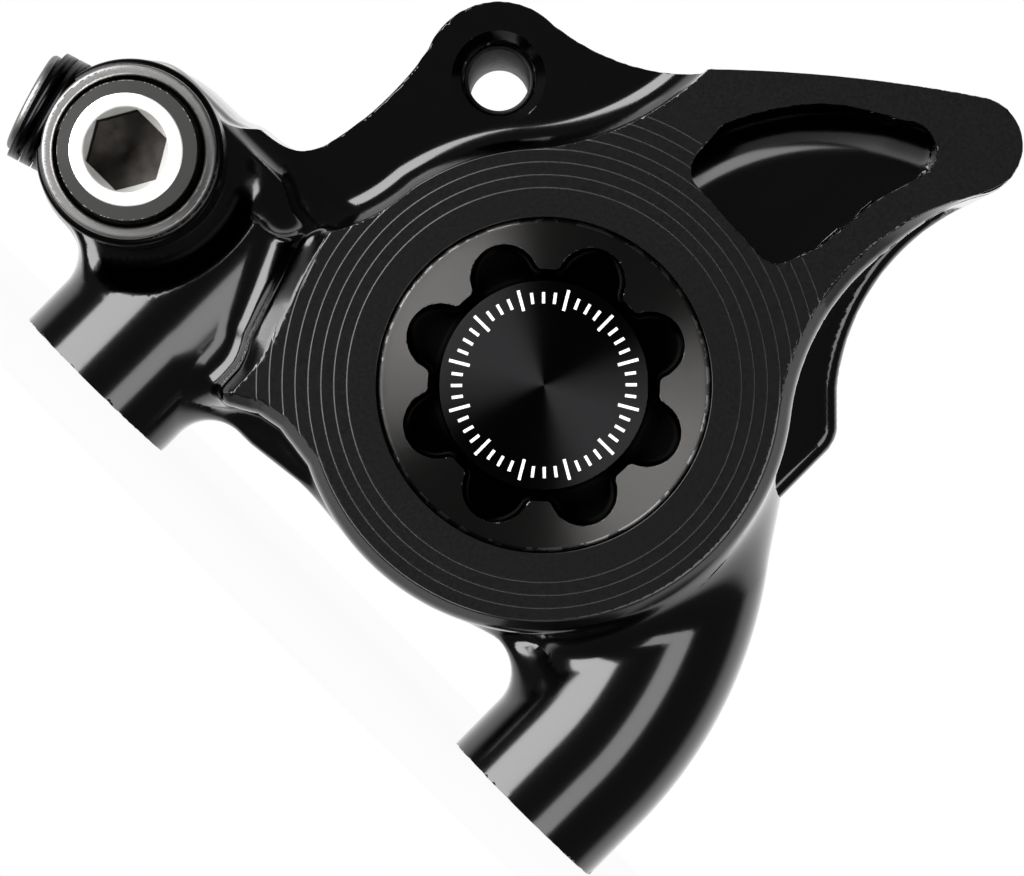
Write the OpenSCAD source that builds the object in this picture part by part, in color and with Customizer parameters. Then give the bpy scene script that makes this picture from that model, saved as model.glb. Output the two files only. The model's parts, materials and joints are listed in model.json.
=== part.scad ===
// Flat-mount hydraulic disc brake caliper with two opposed pistons.
// Frame: the origin is midway between the two mounting holes, on the mounting plane.
// +X runs along the holes towards the rear, +Z rises from the mounting plane,
// and +Y points inboard, towards the wheel. The outboard side faces -Y.

/* [Mounting] */
// Distance between the two mounting holes
mount_pitch = 34; // [33:0.5:36]
// Drilled diameter of a mounting thread
mount_tap_d = 4.2; // [3.4:0.1:4.6]
// Depth of a mounting thread
mount_tap_depth = 9; // [7:0.5:9.5]
// Diameter of a mounting post
post_d = 10.6; // [9.8:0.1:11]
// Bevel round the foot of a post
foot_bevel = 0.3; // [0.1:0.1:0.6]
// Height at which the rear post starts to lean forwards
lean_start = 4; // [3:0.5:5]
// Radius of the lean along the outside of the rear post
lean_r = 26; // [24:0.5:28]
// Sideways distance from the mounting holes to the rotor's middle plane
mount_to_rotor = 13; // [12.6:0.1:13.6]

/* [Rotor] */
// Diameter of the rotor
rotor_d = 140; // [139:1:142]
// Thickness of the rotor
rotor_t = 1.8; // [1.6:0.1:2.2]
// Height of the rotor's rim over the middle of the bores
rim_over_bore = 8; // [7.6:0.1:8.4]
// Room between the rotor's rim and the bridges
rim_room = 1.8; // [1.2:0.1:2]
// Width of the slot that the rotor runs in
slot_w = 6; // [5:0.2:6.6]
// Direction from the rotor's middle to the bores
radial_angle = 143; // [142:0.5:144]

/* [Bores and pistons] */
// Middle of the bores along X
bore_x = 1; // [0.5:0.1:1.5]
// Middle of the bores over the mounting plane
bore_z = 17.8; // [17.4:0.1:18.2]
// Diameter of a piston
piston_d = 16; // [15:0.2:16.4]
// Length of a piston
piston_len = 9; // [8:0.2:9.2]
// Depth of the hollow in a piston
piston_hollow = 6; // [4:0.5:7]
// Wall of a piston
piston_wall = 1.8; // [1.2:0.1:2.5]
// Radial running clearance of a piston
piston_gap = 0.03; // [0.02:0.01:0.06]
// Fluid space behind a retracted piston
fluid_space = 1.4; // [1:0.1:1.6]
// Width of a pressure seal
seal_w = 2; // [1.6:0.1:2.2]
// Radial height of a pressure seal
seal_h = 1.3; // [1:0.1:1.4]
// Width of a dust seal
dust_w = 1.1; // [0.8:0.1:1.2]
// Radial height of a dust seal
dust_h = 0.9; // [0.7:0.1:1]
// Wall between the mouth of a bore and its dust seal
lip_w = 0.9; // [0.7:0.1:1]
// Wall between the dust seal and the pressure seal
land_w = 1.2; // [1:0.1:1.4]

/* [Bore cap] */
// Diameter of the cap's thread
cap_d = 18.5; // [18:0.1:18.8]
// Thickness of the cap
cap_t = 4.2; // [4:0.1:4.4]
// How far the cap's face lies below the boss
cap_sunk = 0.3; // [0.1:0.1:0.5]
// Bevel round the cap's face
cap_bevel = 0.35; // [0.2:0.05:0.5]
// Number of lobes in the cap's socket
lobe_count = 8; // [6:1:8]
// Radius of a lobe
lobe_r = 1.9; // [1.6:0.1:2]
// Distance from the cap's middle to the middle of a lobe
lobe_reach = 6.3; // [6:0.1:6.5]
// Radius of the round space that joins the lobes
socket_r = 6.45; // [6.3:0.05:6.8]
// Radius of the disc left standing in the socket
island_r = 5.8; // [5.4:0.1:6]
// How far the disc lies below the cap's face
island_sunk = 0.25; // [0.1:0.05:0.5]
// Depth of the socket
socket_depth = 2.2; // [1.6:0.1:2.4]
// Direction of the first lobe
lobe_angle = 20; // [0:1:45]
// Radial clearance of the cap in its thread
cap_gap = 0.04; // [0.02:0.01:0.08]
// Cord thickness of the cap's sealing ring
cap_ring_t = 0.9; // [0.7:0.1:1]

/* [Body] */
// Outboard wall, from the pad pocket to the front of the boss
outboard_wall = 14.4; // [14:0.1:15]
// Inboard wall, from the pad pocket to the back of the boss
inboard_wall = 11.6; // [11.4:0.1:12.4]
// Radius of the boss round the bores
boss_r = 13.1; // [12.6:0.1:13.4]
// How far the walls flare out behind the front edge
edge_flare = 0.7; // [0.3:0.1:0.9]
// Depth of the front edge, before the walls flare out
edge_depth = 1; // [0.6:0.1:1.4]
// Number of turned steps on the front of the boss
step_count = 8; // [4:1:9]
// Width of a turned step
step_w = 0.72; // [0.6:0.02:0.75]
// Height of a turned step
step_h = 0.12; // [0.06:0.02:0.14]
// Radius of the innermost turned step
step_r = 10.9; // [10.6:0.1:11.2]
// Depth from the front of the boss down to the pin ear
ear_drop = 7.9; // [7.4:0.1:8.4]
// Thickness of the inboard pin ear
inner_ear_t = 6; // [5:0.5:7]
// Radius of a pin ear
ear_r = 4.3; // [4.1:0.1:4.6]
// Radius of the wing's tip
tip_r = 2.75; // [2.4:0.05:3]
// Radius of the hollow along the wing's rear edge
hollow_r = 14.3; // [14:0.1:15]
// Direction from the bores to that hollow
hollow_angle = 37.6; // [37:0.1:38.5]
// Direction from that hollow to the wing's tip
tip_angle = 146; // [145:0.5:147]
// Radius of the hollow between the boss and the wing's top
ridge_r = 15.6; // [15:0.1:16]
// Direction from the bores to that hollow
ridge_angle = 138.5; // [138:0.1:139]
// Direction from that hollow to the wing's front corner
ridge_end = -0.5; // [-1:0.5:1]
// How far the wing reaches inboard past the pad pocket
wing_inboard = 8; // [6:0.5:10]
// How far the ear's top edge dips between the pin and the wing
ear_dip = 0.8; // [0.4:0.1:1.2]
// How far the heel behind the rotor stands out past the boss
heel_out = 1.3; // [0.8:0.1:1.6]
// Height of the heel's top over the bores
heel_up = 10; // [9:0.2:10.4]
// Radius of the valley between the banjo and the pin ear
valley_r = 2.6; // [2.3:0.05:2.9]
// Distance from the pad pin forwards to the middle of that valley
valley_front = 6; // [5.8:0.1:6.4]
// Step from the back of the boss down to the bridge's inboard end
bridge_step = 1.5; // [1:0.1:2]
// Height of the front arm's upper corner over the bores, along the radial direction
arm_up = 9.9; // [9.6:0.1:10.2]
// Distance of that corner to the front of the bores, along the rotor
arm_front = 12.7; // [12.4:0.1:13]
// Distance from the front mounting hole back to the front arm's lower corner
arm_back = 6; // [5.6:0.1:6.4]
// Depth of the pocket in the wing
wing_pocket = 6.5; // [5:0.5:8]
// Radius of the round end of that pocket
pocket_end_r = 1.65; // [1.4:0.05:1.8]
// Distance from the wing's tip to that round end
pocket_to_tip = 3.7; // [3.5:0.1:3.9]

/* [Pads] */
// Width of a pad along the rotor
pad_w = 20; // [19:0.2:20.4]
// Height of a pad's friction block
friction_h = 14.6; // [13.6:0.2:15]
// Thickness of a pad's friction block
friction_t = 2.6; // [1.6:0.1:2.9]
// Thickness of a pad's backing plate
backing_t = 1.8; // [1.6:0.1:2.2]
// Edge of backing plate left bare round the friction block
backing_edge = 0.7; // [0.5:0.1:1]
// Gap between a released pad and the rotor
pad_air = 0.3; // [0.2:0.05:0.5]
// Gap round a pad in its pocket
pad_room = 0.3; // [0.2:0.05:0.5]
// Gap between the pocket's floor and a released pad
pad_back_room = 1.4; // [0.6:0.1:1.8]
// Height of a pad's shoulders over its friction block
shoulder_h = 1.2; // [1:0.1:1.6]
// Width of the dust groove down a friction block
groove_w = 1; // [0.8:0.1:1.4]
// Depth of that groove
groove_depth = 1; // [0.6:0.1:1.4]
// Radius of a pad's tab at the pin
tab_r = 3.5; // [3.3:0.1:3.7]

/* [Pad pin and spring] */
// Distance from the bores to the pad pin
pin_up = 17.6; // [17.2:0.1:18]
// Outer diameter of the pad pin
pin_d = 4; // [3.6:0.1:4.2]
// Inner diameter of the pad pin
pin_bore_d = 3.2; // [2.6:0.1:3.3]
// Diameter of the pin's access hole in the outboard ear
pin_access_d = 4.6; // [4.4:0.1:5]
// Bevel at the mouth of the access hole
pin_access_bevel = 0.4; // [0.2:0.1:0.6]
// How far the pin lies inside the outboard ear
pin_sunk = 3; // [2:0.25:4]
// How far the pin stands out of the inboard ear
pin_proud = 1.8; // [1.4:0.1:3]
// Radial clearance of the pin in its holes
pin_gap = 0.05; // [0.03:0.01:0.1]
// Radial clearance of the pin in the pads and the spring
pin_pad_gap = 0.2; // [0.15:0.05:0.3]
// Thickness of the pin's clip
clip_t = 0.6; // [0.4:0.1:0.8]
// Radial width of the pin's clip
clip_w = 1.3; // [1:0.1:1.6]
// Width of the gap in the clip
clip_gap = 2.4; // [2:0.1:2.8]
// Depth of the clip's groove in the pin
clip_groove = 0.2; // [0.1:0.05:0.25]
// Sheet thickness of the pad spring
spring_t = 0.4; // [0.3:0.05:0.5]
// Gap between the spring and a pad
spring_gap = 0.05; // [0.03:0.01:0.1]
// How far the spring's legs flare out at their feet
leg_flare = 1.5; // [1:0.1:2]
// Width of the strap that joins the spring's legs
strap_w = 3.2; // [2.4:0.2:4]

/* [Banjo] */
// Banjo axis along X
banjo_x = -24.3; // [-24.8:0.1:-23.8]
// Banjo axis over the mounting plane
banjo_z = 10.8; // [10.4:0.1:11.2]
// Distance from the banjo's seat to the plane of the mounting holes
banjo_stand = 2.9; // [2.8:0.1:3.2]
// Outer radius of the banjo eye
eye_r = 5.2; // [5:0.1:5.4]
// Thickness of the banjo eye
eye_t = 7.4; // [7.2:0.1:8]
// Bevel round the front of the eye
eye_bevel = 0.8; // [0.5:0.1:0.9]
// Diameter of the bolt's thread
bolt_d = 6; // [5.6:0.1:6.2]
// Diameter of the bolt's head
bolt_head_d = 7.7; // [7.4:0.1:8]
// Height of the bolt's head
bolt_head_h = 3.6; // [3.2:0.1:4.4]
// Diameter of the flat ring on top of the head
bolt_top_d = 6.2; // [5.8:0.1:6.6]
// Hexagon key of the bolt, across flats
bolt_key = 4; // [3:0.5:4.5]
// Depth of the hexagon socket
bolt_key_depth = 2.6; // [2:0.1:3]
// How far the bolt goes into the body
bolt_reach = 9; // [7:0.5:10]
// Radial clearance of the bolt in the eye and the body
bolt_gap = 0.04; // [0.02:0.01:0.08]
// Thickness of the washer under the head
outer_washer_t = 0.6; // [0.5:0.1:0.8]
// Thickness of the washer behind the eye
inner_washer_t = 0.8; // [0.6:0.1:1]
// Depth of the counterbore in the eye
counterbore_depth = 1.6; // [1.2:0.1:2]
// Gap round the head in the counterbore
counterbore_gap = 0.4; // [0.2:0.1:0.5]
// Radius of the clearance milled round the banjo
seat_clear_r = 7.1; // [6.9:0.1:7.4]
// Outer radius of the boss behind the banjo
banjo_boss_r = 5.8; // [5.6:0.1:6]
// Thread diameter of the hose stub
stub_d = 6.6; // [6.2:0.1:7]
// Distance from the banjo axis to the end of the stub
stub_reach = 6.4; // [6:0.1:8]
// Direction of the hose stub
stub_angle = 197; // [192:1:202]
// Thread pitch of the hose stub
stub_pitch = 0.75; // [0.7:0.05:1]
// Depth of the hose stub's thread
stub_thread_h = 0.45; // [0.3:0.05:0.5]
// Width of the fluid groove inside the eye
eye_groove_w = 3.2; // [2.6:0.1:3.6]
// Depth of that groove
eye_groove_h = 0.8; // [0.5:0.1:1]
// Diameter of the fluid passage up the bolt
bolt_bore_d = 2; // [1.6:0.1:2.4]
// Diameter of the side hole in the bolt
bolt_side_d = 1.6; // [1.2:0.1:1.8]
// Bore of the hose stub
stub_bore_d = 3.2; // [2.6:0.1:3.6]

/* [Bleed valve and passages] */
// Crossover passage above the bores, along the radial direction
cross_up = 11.3; // [11:0.1:11.6]
// Crossover passage to the front of the bores, along the rotor
cross_front = 13.3; // [13.2:0.1:13.6]
// Diameter of the crossover passage
cross_d = 2.4; // [2.2:0.1:2.6]
// Diameter of the passages that branch from it
branch_d = 1.8; // [1.4:0.1:2]
// Thread diameter of the bleed screw
bleed_d = 6; // [5.4:0.1:6.2]
// Length of the bleed screw's thread
bleed_len = 6; // [5:0.5:7]
// Bleed screw's hexagon, across flats
bleed_hex = 7; // [6.6:0.1:7.4]
// Height of the bleed screw's hexagon
bleed_hex_h = 3; // [2.5:0.1:4]
// Diameter of the bleed nipple
nipple_d = 4.2; // [3.8:0.1:4.6]
// Length of the bleed nipple
nipple_len = 5; // [4:0.5:6]
// Radial clearance of the bleed screw in its thread
bleed_gap = 0.04; // [0.02:0.01:0.08]
// Diameter of the passage through the nipple
nipple_bore_d = 1.8; // [1.4:0.1:2.2]
// Gap under the bleed screw's hexagon
bleed_lift = 0.3; // [0.2:0.1:0.5]
// Wall of the rubber cap on the nipple
bleed_cap_wall = 1; // [0.8:0.1:1.4]
// Diameter of the gallery plug
plug_d = 4; // [3.6:0.1:4.4]
// Length of the gallery plug
plug_len = 3; // [2.5:0.1:3.4]
// Hexagon key of the plug, across flats
plug_key = 2; // [1.5:0.5:2]
// Depth of that key's socket
plug_key_depth = 1.6; // [1.2:0.1:2]
// How far the plug lies below the boss
plug_sunk = 0.8; // [0.5:0.1:1]

/* [Hidden] */

$fn = 64;
black = "#1b1b1d";
rubber = "#26262a";
steel = "#c9cbce";
copper = "#b87952";
eps = 0.01;
over = 1;
seal_gap = 0.02;
far = 60;

// Directions: up runs from the rotor's middle through the bores, along runs with the rotor.
bore = [bore_x, bore_z];
up = [cos(radial_angle), sin(radial_angle)];
along = [sin(radial_angle), -cos(radial_angle)];
function at(u, t) = bore + u * up + t * along;
function polar(r, a) = r * [cos(a), sin(a)];
rotor = at(rim_over_bore - rotor_d / 2, 0);
pin = at(pin_up, 0);
banjo = [banjo_x, banjo_z];
cross = at(cross_up, -cross_front);
banjo_seat = -banjo_stand;

// Depths along Y, all counted from the rotor's middle plane
rotor_y = mount_to_rotor;
pad_face = rotor_t / 2 + pad_air;
pad_back = pad_face + friction_t + backing_t;
pocket_half = pad_back + pad_back_room;
outer_floor = rotor_y - pocket_half;
inner_floor = rotor_y + pocket_half;
boss_front = outer_floor - outboard_wall;
boss_back = inner_floor + inboard_wall;
wing_front = boss_front + step_count * step_h;
wing_back = inner_floor + wing_inboard;
ear_front = boss_front + ear_drop;
ear_back = inner_floor + inner_ear_t;
slot_outer = rotor_y - slot_w / 2;
slot_inner = rotor_y + slot_w / 2;

post_r = post_d / 2;
bore_r = piston_d / 2 + piston_gap;
cap_r = cap_d / 2;
cap_front = boss_front + cap_sunk;
cap_back = cap_front + cap_t;
chamber_back = rotor_y + pad_back + piston_len + fluid_space;
gallery_d = branch_d + 0.1;
gallery_y = chamber_back - gallery_d / 2;
gallery_z = cross[1] + (cross_d - gallery_d) / 2;
bleed_face = boss_back - bridge_step;

// Points of an arc, and of a corner rounded with its own radius
function arc(c, r, a0, a1, n) = [for (k = [0:n]) c + polar(r, a0 + (a1 - a0) * k / n)];
function unit(v) = v / norm(v);
function heading(v) = atan2(v[1], v[0]);
function short_turn(a) = a - 360 * round(a / 360);
function corner(a, b, c, r, n) =
    let (p = unit(a - b), q = unit(c - b), half = acos(p * q) / 2, mid = b + unit(p + q) * r / sin(half))
    let (first = heading(b + p * r / tan(half) - mid), last = heading(b + q * r / tan(half) - mid))
    arc(mid, r, first, first + short_turn(last - first), n);
function xz(p) = [p[0], p[1]];
function rounded(list, n = 6) = [for (i = [0:len(list) - 1])
    let (a = list[(i + len(list) - 1) % len(list)], b = list[i], c = list[(i + 1) % len(list)])
    each corner(xz(a), xz(b), xz(c), b[2], n)];

// A flat outline in X and Z, given depth between two Y levels
module slab(y0, y1) translate([0, y1, 0]) rotate([90, 0, 0]) linear_extrude(y1 - y0) children();
// A round bar along Y
module bar(p, y0, y1, r) translate([p[0], y0, p[1]]) rotate([-90, 0, 0]) cylinder(h = y1 - y0, r = r);
// A ring along Y
module ring(p, y0, y1, r0, r1) difference() {
    bar(p, y0, y1, r1);
    bar(p, y0 - eps, y1 + eps, r0);
}
// A turned shape about an axis along Y: its profile is radius, then height along +Y
module turned(p, y0) translate([p[0], y0, p[1]]) rotate([-90, 0, 0]) rotate_extrude() children();
// A drilled hole between two points
module drilled(a, b, r) let (v = b - a) translate(a)
    rotate([0, acos(v[2] / norm(v)), atan2(v[1], v[0])]) cylinder(h = norm(v), r = r);
// A hexagonal bar along Y
module hexagon(p, y0, y1, flats) translate([p[0], y0, p[1]]) rotate([-90, 0, 0])
    cylinder(h = y1 - y0, d = flats / cos(30), $fn = 6);

// Outline of the front plate: boss, wing and front arm, grown by g on every side
hollow_c = bore + polar(boss_r + hollow_r, hollow_angle);
tip_c = hollow_c + polar(hollow_r + tip_r, tip_angle);
ridge_c = bore + polar(boss_r + ridge_r, ridge_angle);
arm_top = at(arm_up, -arm_front);
arm_foot = [arm_back - mount_pitch / 2, post_r];
function wing_edge(g) = concat(
    arc(hollow_c, hollow_r - g, hollow_angle + 180, tip_angle, 16),
    arc(tip_c, tip_r + g, tip_angle - 180, 121, 8),
    arc(ridge_c, ridge_r - g, ridge_end, ridge_angle - 180, 10));
function plate_outline(g) = concat(
    arc(bore, boss_r + g, 243, 360 + hollow_angle, 30),
    wing_edge(g),
    arc(bore, boss_r + g, ridge_angle, 180, 8),
    [arm_top + [-g, g], arm_foot + [-g, -g], arm_foot + [1.6, 0.9 - g], arm_foot + [3.2, 1.2 - g]]);
// Outline of the half behind the rotor, with a square heel and a wider wing
heel = [bore_x + boss_r + heel_out, bore_z + heel_up];
back_hollow_c = hollow_c + [0.8, 3.8];
back_hollow_r = norm(tip_c - back_hollow_c) - tip_r;
back_tip_angle = heading(tip_c - back_hollow_c);
function inner_outline() = concat(
    arc(bore, boss_r, 180, 330, 24),
    [heel - [0, heel_up]],
    corner(heel - [0, heel_up], heel, back_hollow_c + polar(back_hollow_r, 219), 2.2, 5),
    arc(back_hollow_c, back_hollow_r, 219, back_tip_angle, 14),
    arc(tip_c, tip_r, back_tip_angle - 180, 121, 8),
    arc(ridge_c, ridge_r, ridge_end, ridge_angle - 180, 10));
// Outline of a pin ear, from the front bridge over the pin to the wing
bridge_top = banjo_z + banjo_boss_r;
valley_c = [pin[0] - valley_front, bridge_top + valley_r];
wing_corner = ridge_c + polar(ridge_r, ridge_end);
function bow(p, q, sag, n) = let (v = q - p, side = [-v[1], v[0]] / norm(v))
    [for (k = [1:n - 1]) p + v * k / n + side * sag * 4 * (k / n) * (1 - k / n)];
ear_last = pin + polar(ear_r, 88);
function ear_outline() = concat(
    arc(pin, ear_r, 88, 210, 14),
    arc(valley_c, valley_r, 5, -88, 10),
    [valley_c - [0, valley_r + 3], at(5, -8), at(5, 8), wing_corner + [1, -3], wing_corner],
    bow(wing_corner, ear_last, ear_dip, 8));
// Outline of the front bridge and of the boss behind the banjo
function bridge_outline() = rounded([
    [banjo_x - banjo_boss_r, bridge_top, banjo_boss_r - 0.1],
    [banjo_x - banjo_boss_r, banjo_z - banjo_boss_r, banjo_boss_r - 0.1],
    [bore_x - 9, banjo_z - banjo_boss_r, 1],
    [bore_x - 9, bridge_top, 1]]);
// Outline of the raised shoulder that the banjo sits on
function shoulder_outline() = rounded([
    [banjo_x - banjo_boss_r, bridge_top, banjo_boss_r - 0.1],
    [banjo_x - banjo_boss_r, banjo_z - banjo_boss_r, banjo_boss_r - 0.1],
    [arm_foot[0], banjo_z - banjo_boss_r, 1],
    [arm_top[0] + 1, arm_top[1] - 1, 1],
    [valley_c[0] + 2.2, bridge_top, 1]]);
// Outline of the pocket in the wing
pocket_end = tip_c - polar(pocket_to_tip, 49);
function pocket_outline() = concat(
    arc(pocket_end, pocket_end_r, -20, 135, 8),
    rounded_path([
        concat(bore + [0.2, 22.4], 5), concat(bore + [-3.2, 18.4], 3.5), concat(bore + [-2.9, 13.9], 1.3),
        concat(bore + [4.4, 13.5], 1.3), concat(bore + [5.5, 16.4], 4), concat(bore + [5.9, 20.6], 5)],
        pocket_end + polar(pocket_end_r, 135), pocket_end + polar(pocket_end_r, -20)));
function rounded_path(list, first, last) = [for (i = [0:len(list) - 1])
    let (a = i == 0 ? first : xz(list[i - 1]), c = i == len(list) - 1 ? last : xz(list[i + 1]))
    each corner(a, xz(list[i]), c, list[i][2], 5)];

// The stepped dome on the outboard side: each ring lies one step lower than the ring inside it
module stepped_dome() turned(bore, boss_front) polygon(concat(
    [[0, 0]],
    [for (i = [0:step_count - 1]) each [[step_r + i * step_w, i * step_h],
        [step_r + i * step_w, (i + 1) * step_h]]],
    [[far, step_count * step_h], [far, far], [0, far]]));

module front_plate() intersection() {
    union() {
        slab(boss_front, slot_outer) polygon(plate_outline(0));
        slab(wing_front + edge_depth, slot_outer) polygon(plate_outline(edge_flare));
    }
    stepped_dome();
}

module post(x) translate([x, 0, 0]) {
    cylinder(h = foot_bevel, r1 = post_r - foot_bevel, r2 = post_r);
    translate([0, 0, foot_bevel]) cylinder(h = lean_start - foot_bevel, r = post_r);
}

module front_post() {
    post(-mount_pitch / 2);
    translate([-mount_pitch / 2, 0, lean_start]) cylinder(h = banjo_z + 2.2 - lean_start, r = post_r);
}

module rear_post() {
    post(mount_pitch / 2);
    translate([mount_pitch / 2 + post_r - lean_r, 0, lean_start]) rotate([90, 0, 0])
        rotate_extrude(angle = 44) translate([lean_r - post_r, 0]) circle(post_r);
}

// Slab that fills the underside between the two posts
module underside() slab(-post_r + 1.2, slot_outer) polygon(rounded([
    [-mount_pitch / 2, lean_start, 0.4],
    [bore_x, lean_start, 4],
    [mount_pitch / 2 - post_r - 1, lean_start + 1, 0.5],
    [mount_pitch / 2, lean_start - 1, 0.4],
    [bore_x, bore_z, 4],
    [-mount_pitch / 2, banjo_z, 1]]));

// Profile of a bore from the pad pocket outwards, with its two seal grooves: radius, then depth
function bore_profile(depth) =
    let (dust = lip_w, seal = lip_w + dust_w + land_w)
    [[0, -over], [bore_r, -over], [bore_r, dust], [bore_r + dust_h, dust], [bore_r + dust_h, dust + dust_w],
        [bore_r, dust + dust_w], [bore_r, seal], [bore_r + seal_h, seal], [bore_r + seal_h, seal + seal_w],
        [bore_r, seal + seal_w], [bore_r, depth]];
module outer_bore_cut() {
    depth = outer_floor - cap_back;
    mouth = depth + cap_t + cap_sunk + over;
    translate([bore_x, outer_floor, bore_z]) rotate([90, 0, 0]) rotate_extrude() polygon(concat(
        bore_profile(depth), [[cap_r + cap_gap, depth], [cap_r + cap_gap, mouth], [0, mouth]]));
}
module inner_bore_cut() let (depth = chamber_back - inner_floor)
    turned(bore, inner_floor) polygon(concat(bore_profile(depth), [[0, depth]]));
module pin_cut() turned(pin, ear_front) polygon([
    [0, -over], [pin_access_d / 2 + pin_access_bevel + over, -over],
    [pin_access_d / 2, pin_access_bevel], [pin_access_d / 2, pin_sunk], [pin_d / 2 + pin_gap, pin_sunk],
    [pin_d / 2 + pin_gap, far], [0, far]]);
drill_point = (bolt_d / 2 + bolt_gap) / tan(65);
module banjo_cut() turned(banjo, banjo_seat) polygon([[0, -far], [seat_clear_r, -far], [seat_clear_r, 0],
    [bolt_d / 2 + bolt_gap, 0], [bolt_d / 2 + bolt_gap, bolt_reach + over],
    [0, bolt_reach + over + drill_point]]);

// Drilled passages: the feed from the banjo, the crossover between the halves, and a branch to each bore
function deep(p, y) = [p[0], y, p[1]];
cross_start = ear_front + 4;
entry_d = branch_d - 0.1;
module passages() {
    feed_from = banjo - unit(cross - banjo);
    drilled(deep(feed_from, banjo_seat - over), deep(cross, slot_inner + slot_w), branch_d / 2);
    bar(cross, cross_start, boss_back + over, cross_d / 2);
    entry = bore + (bore_r - entry_d / 3) * unit(cross - bore);
    meeting = cross - [(cross_d - entry_d) / 2, 0];
    drilled(deep(entry, cap_back + entry_d), deep(meeting, cross_start + entry_d), entry_d / 2);
    drilled([cross[0] - cross_d / 6, gallery_y, gallery_z], [far, gallery_y, gallery_z], gallery_d / 2);
}

plug_face = bore_x + sqrt(boss_r * boss_r - (gallery_z - bore_z) * (gallery_z - bore_z)) - plug_sunk;
module plug_place() translate([plug_face - plug_len, gallery_y, gallery_z]) rotate([0, 90, 0]) children();
// A strip across the rotor's direction, from one height to another
function strip(u0, u1, half) = [at(u0, -half), at(u1, -half), at(u1, half), at(u0, half)];

module caliper_body() color(black) difference() {
    union() {
        front_plate();
        slab(ear_front, outer_floor) polygon(ear_outline());
        slab(inner_floor, ear_back) polygon(ear_outline());
        slab(banjo_seat, ear_front + 1) polygon(shoulder_outline());
        slab(ear_front, bleed_face) polygon(bridge_outline());
        slab(slot_outer, slot_inner) polygon(concat(wing_edge(0), [at(7, 11)]));
        slab(slot_inner, wing_back) polygon(inner_outline());
        bar(bore, wing_back, boss_back, boss_r - edge_flare);
        front_post();
        rear_post();
        underside();
    }
    bar(rotor, slot_outer, slot_inner, rotor_d / 2 + rim_room);
    slab(outer_floor, inner_floor) polygon(strip(-pad_low - pad_room, far, pad_half + pad_room));
    outer_bore_cut();
    inner_bore_cut();
    banjo_cut();
    pin_cut();
    for (side = [-1, 1])
        translate([side * mount_pitch / 2, 0, -over]) cylinder(h = mount_tap_depth + over, d = mount_tap_d);
    slab(boss_front - over, wing_front + wing_pocket) polygon(pocket_outline());
    passages();
    bar(cross, bleed_face - bleed_len, boss_back + over, bleed_d / 2 + bleed_gap);
    plug_place() cylinder(h = far, d = plug_d + 2 * bleed_gap);
}

// The cap's profile has a groove for its sealing ring, with a thin lip behind it
ring_groove_w = 1.6 * cap_ring_t;
ring_lip = 0.5;
module bore_cap() color(black) difference() {
    turned(bore, cap_front) polygon([[0, 0], [cap_r - cap_bevel, 0], [cap_r, cap_bevel],
        [cap_r, cap_t - ring_groove_w - ring_lip], [cap_r - cap_ring_t, cap_t - ring_groove_w - ring_lip],
        [cap_r - cap_ring_t, cap_t - ring_lip], [cap_r, cap_t - ring_lip], [cap_r, cap_t], [0, cap_t]]);
    difference() {
        union() {
            bar(bore, cap_front - over, cap_front + socket_depth, socket_r);
            for (i = [0:lobe_count - 1]) {
                lobe = bore + polar(lobe_reach, lobe_angle + i * 360 / lobe_count);
                bar(lobe, cap_front - over, cap_front + socket_depth, lobe_r);
            }
        }
        bar(bore, cap_front + island_sunk, cap_back, island_r);
    }
}

module cap_o_ring() color(rubber) turned(bore, cap_back - ring_lip - ring_groove_w / 2)
    translate([cap_r - cap_ring_t / 2, 0]) circle(d = cap_ring_t - 2 * seal_gap);

// A cup-shaped piston whose open end is at the given depth: away is 1 inboard and -1 outboard
module piston(mouth, away) color(steel)
    translate([bore_x, mouth, bore_z]) rotate([-90 * away, 0, 0]) difference() {
        cylinder(h = piston_len, d = piston_d);
        translate([0, 0, -over]) cylinder(h = piston_hollow + over, r = piston_d / 2 - piston_wall);
    }
module outer_piston() piston(rotor_y - pad_back, -1);
module inner_piston() piston(rotor_y + pad_back, 1);

// A square-section seal in its groove, which starts at the given depth
module bore_seal(start, away, w, h) color(rubber) {
    end = start + away * w;
    ring(bore, min(start, end) + seal_gap, max(start, end) - seal_gap, bore_r, bore_r + h - seal_gap);
}
module outer_dust_seal() bore_seal(outer_floor - lip_w, -1, dust_w, dust_h);
module inner_dust_seal() bore_seal(inner_floor + lip_w, 1, dust_w, dust_h);
module outer_piston_seal() bore_seal(outer_floor - lip_w - dust_w - land_w, -1, seal_w, seal_h);
module inner_piston_seal() bore_seal(inner_floor + lip_w + dust_w + land_w, 1, seal_w, seal_h);

// Pad outlines, in up and along
pad_half = pad_w / 2;
pad_low = friction_h / 2 + backing_edge;
pad_high = friction_h / 2 + shoulder_h;
pad_side = pad_half - backing_edge;
neck = pad_high + 1;
function on_rotor(list) = [for (p = list) at(p[0], p[1])];
function backing_outline() = on_rotor(concat(
    rounded_path([[-pad_low, -pad_half, 2], [-pad_low, pad_half, 2], [pad_high, pad_half, 2.5],
        [neck, tab_r, 2]], [0, -pad_half], [pin_up, tab_r]),
    arc([pin_up, 0], tab_r, 90, -90, 14),
    rounded_path([[neck, -tab_r, 2], [pad_high, -pad_half, 2.5]], [pin_up, -tab_r], [0, -pad_half])));
function friction_outline() = on_rotor(rounded([
    [-friction_h / 2, 2.5 - pad_side, 1], [-friction_h / 2, pad_side - 2.5, 1], [0, pad_side, 3],
    [friction_h / 2, pad_side - 1, 1.5], [friction_h / 2, 1 - pad_side, 1.5], [0, -pad_side, 3]]));

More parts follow.
